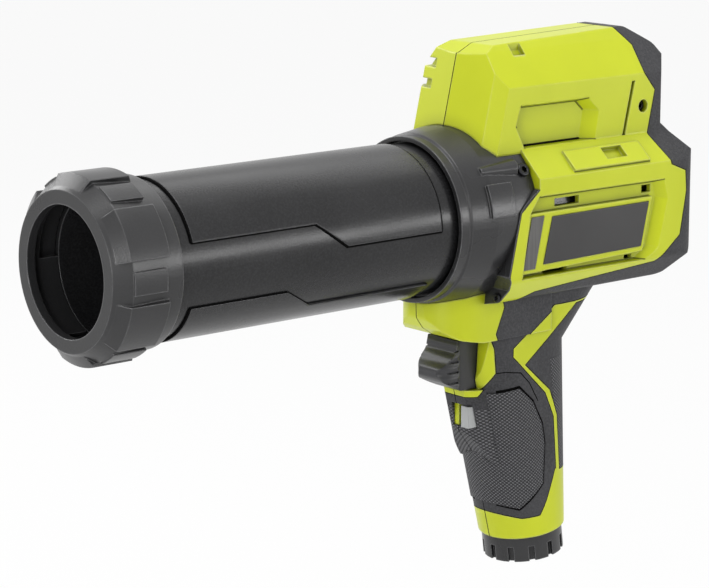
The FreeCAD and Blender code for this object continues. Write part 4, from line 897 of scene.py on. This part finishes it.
# the studio: floor, soft lamps, white surround, camera
studio = {
    "floorDrop": 0.085,  # leaves room for the battery drawn right out
    "floorSize": 6.0,
    "floorTone": 0.86,
    "floorRough": 0.9,
    "floorGlow": 0.93,  # share of white in the floor where it is seen
    "world": 0.21,
    "camera": (0.72981, 0.77178, 0.27805),
    "target": (0.08243, 0.0, 0.06455),
    "lens": 138.74,
    "sensor": 36.0,
    "farthest": 20.0,
    "lamps": {
        "topLamp": dict(place=(0.15, 0.10, 1.20), aim=(0.07, 0.0, 0.06), size=(0.9, 0.7), power=9.0),
        "rearLamp": dict(place=(-0.66, -0.30, 0.98), aim=(0.10, 0.0, 0.09), size=(0.9, 0.3), power=1.2),
        "frontLamp": dict(place=(1.10, 0.55, 0.25), aim=(0.05, 0.0, 0.03), size=(0.42, 0.42), power=5.0),
        "sideLamp": dict(place=(-0.64, 0.92, 0.21), aim=(0.10, 0.0, 0.09), size=(0.9, 0.17), power=3.9),
        "rimLamp": dict(place=(0.35, -0.9, 0.6), aim=(0.08, 0.0, 0.07), size=(0.9, 0.4), power=5.0),
    },
}
white = (1.0, 1.0, 1.0, 1.0)


def whiteSeen(tree):
    # rays that meet the white surround: seen directly, mirrored or through glass
    path = addNode(tree, "ShaderNodeLightPath").outputs
    mirrored = mathNode(tree, "MAXIMUM", path["Is Glossy Ray"], path["Is Transmission Ray"])
    return mathNode(tree, "MAXIMUM", path["Is Camera Ray"], mirrored)


def blendShaders(tree, share, first, second, output):
    blend = addNode(tree, "ShaderNodeMixShader")
    feed(tree, blend.inputs[0], share)
    tree.links.new(first.outputs[0], blend.inputs[1])
    tree.links.new(second.outputs[0], blend.inputs[2])
    tree.links.new(blend.outputs[0], tree.nodes[output].inputs["Surface"])


def makeFloor():
    mesh = bpy.data.meshes.new("floor")
    half = studio["floorSize"] / 2.0
    z = cadBox[0][2] - studio["floorDrop"]
    corners = [(-half, -half, z), (half, -half, z), (half, half, z), (-half, half, z)]
    mesh.from_pydata(corners, [], [(0, 1, 2, 3)])
    floor = bpy.data.objects.new("floor", mesh)
    bpy.context.scene.collection.objects.link(floor)
    material = bpy.data.materials.new("paleFloor")
    material.use_nodes = True
    tree = material.node_tree
    shader = tree.nodes["Principled BSDF"]
    shader.inputs["Base Color"].default_value = (studio["floorTone"],) * 3 + (1.0,)
    shader.inputs["Roughness"].default_value = studio["floorRough"]
    glow = addNode(tree, "ShaderNodeEmission", None, Color=white, Strength=1.0)
    share = mathNode(tree, "MULTIPLY", whiteSeen(tree), studio["floorGlow"])
    blendShaders(tree, share, shader, glow, "Material Output")
    mesh.materials.append(material)


def makeWorld():
    world = bpy.data.worlds.new("studioWhite")
    world.use_nodes = True
    tree = world.node_tree
    light = tree.nodes["Background"]
    light.inputs["Color"].default_value = white
    light.inputs["Strength"].default_value = studio["world"]
    seen = addNode(tree, "ShaderNodeBackground", None, Color=white, Strength=1.0)
    blendShaders(tree, whiteSeen(tree), light, seen, "World Output")
    bpy.context.scene.world = world


def aimed(item, place, aim):
    item.location = place
    item.rotation_euler = (Vector(aim) - Vector(place)).to_track_quat("-Z", "Y").to_euler()
    bpy.context.scene.collection.objects.link(item)


def makeLamp(name, lamp):
    data = bpy.data.lights.new(name, "AREA")
    data.shape = "RECTANGLE"
    data.size, data.size_y = lamp["size"]
    data.energy = lamp["power"]
    aimed(bpy.data.objects.new(name, data), lamp["place"], lamp["aim"])


def makeCamera():
    data = bpy.data.cameras.new("camera")
    data.lens = studio["lens"]
    data.sensor_width = studio["sensor"]
    data.clip_end = studio["farthest"]
    camera = bpy.data.objects.new("camera", data)
    aimed(camera, studio["camera"], studio["target"])
    bpy.context.scene.camera = camera


makeFloor()
makeWorld()
for lampName, lamp in studio["lamps"].items():
    makeLamp(lampName, lamp)
makeCamera()
bpy.context.scene.view_settings.view_transform = "Standard"
print("studio set")
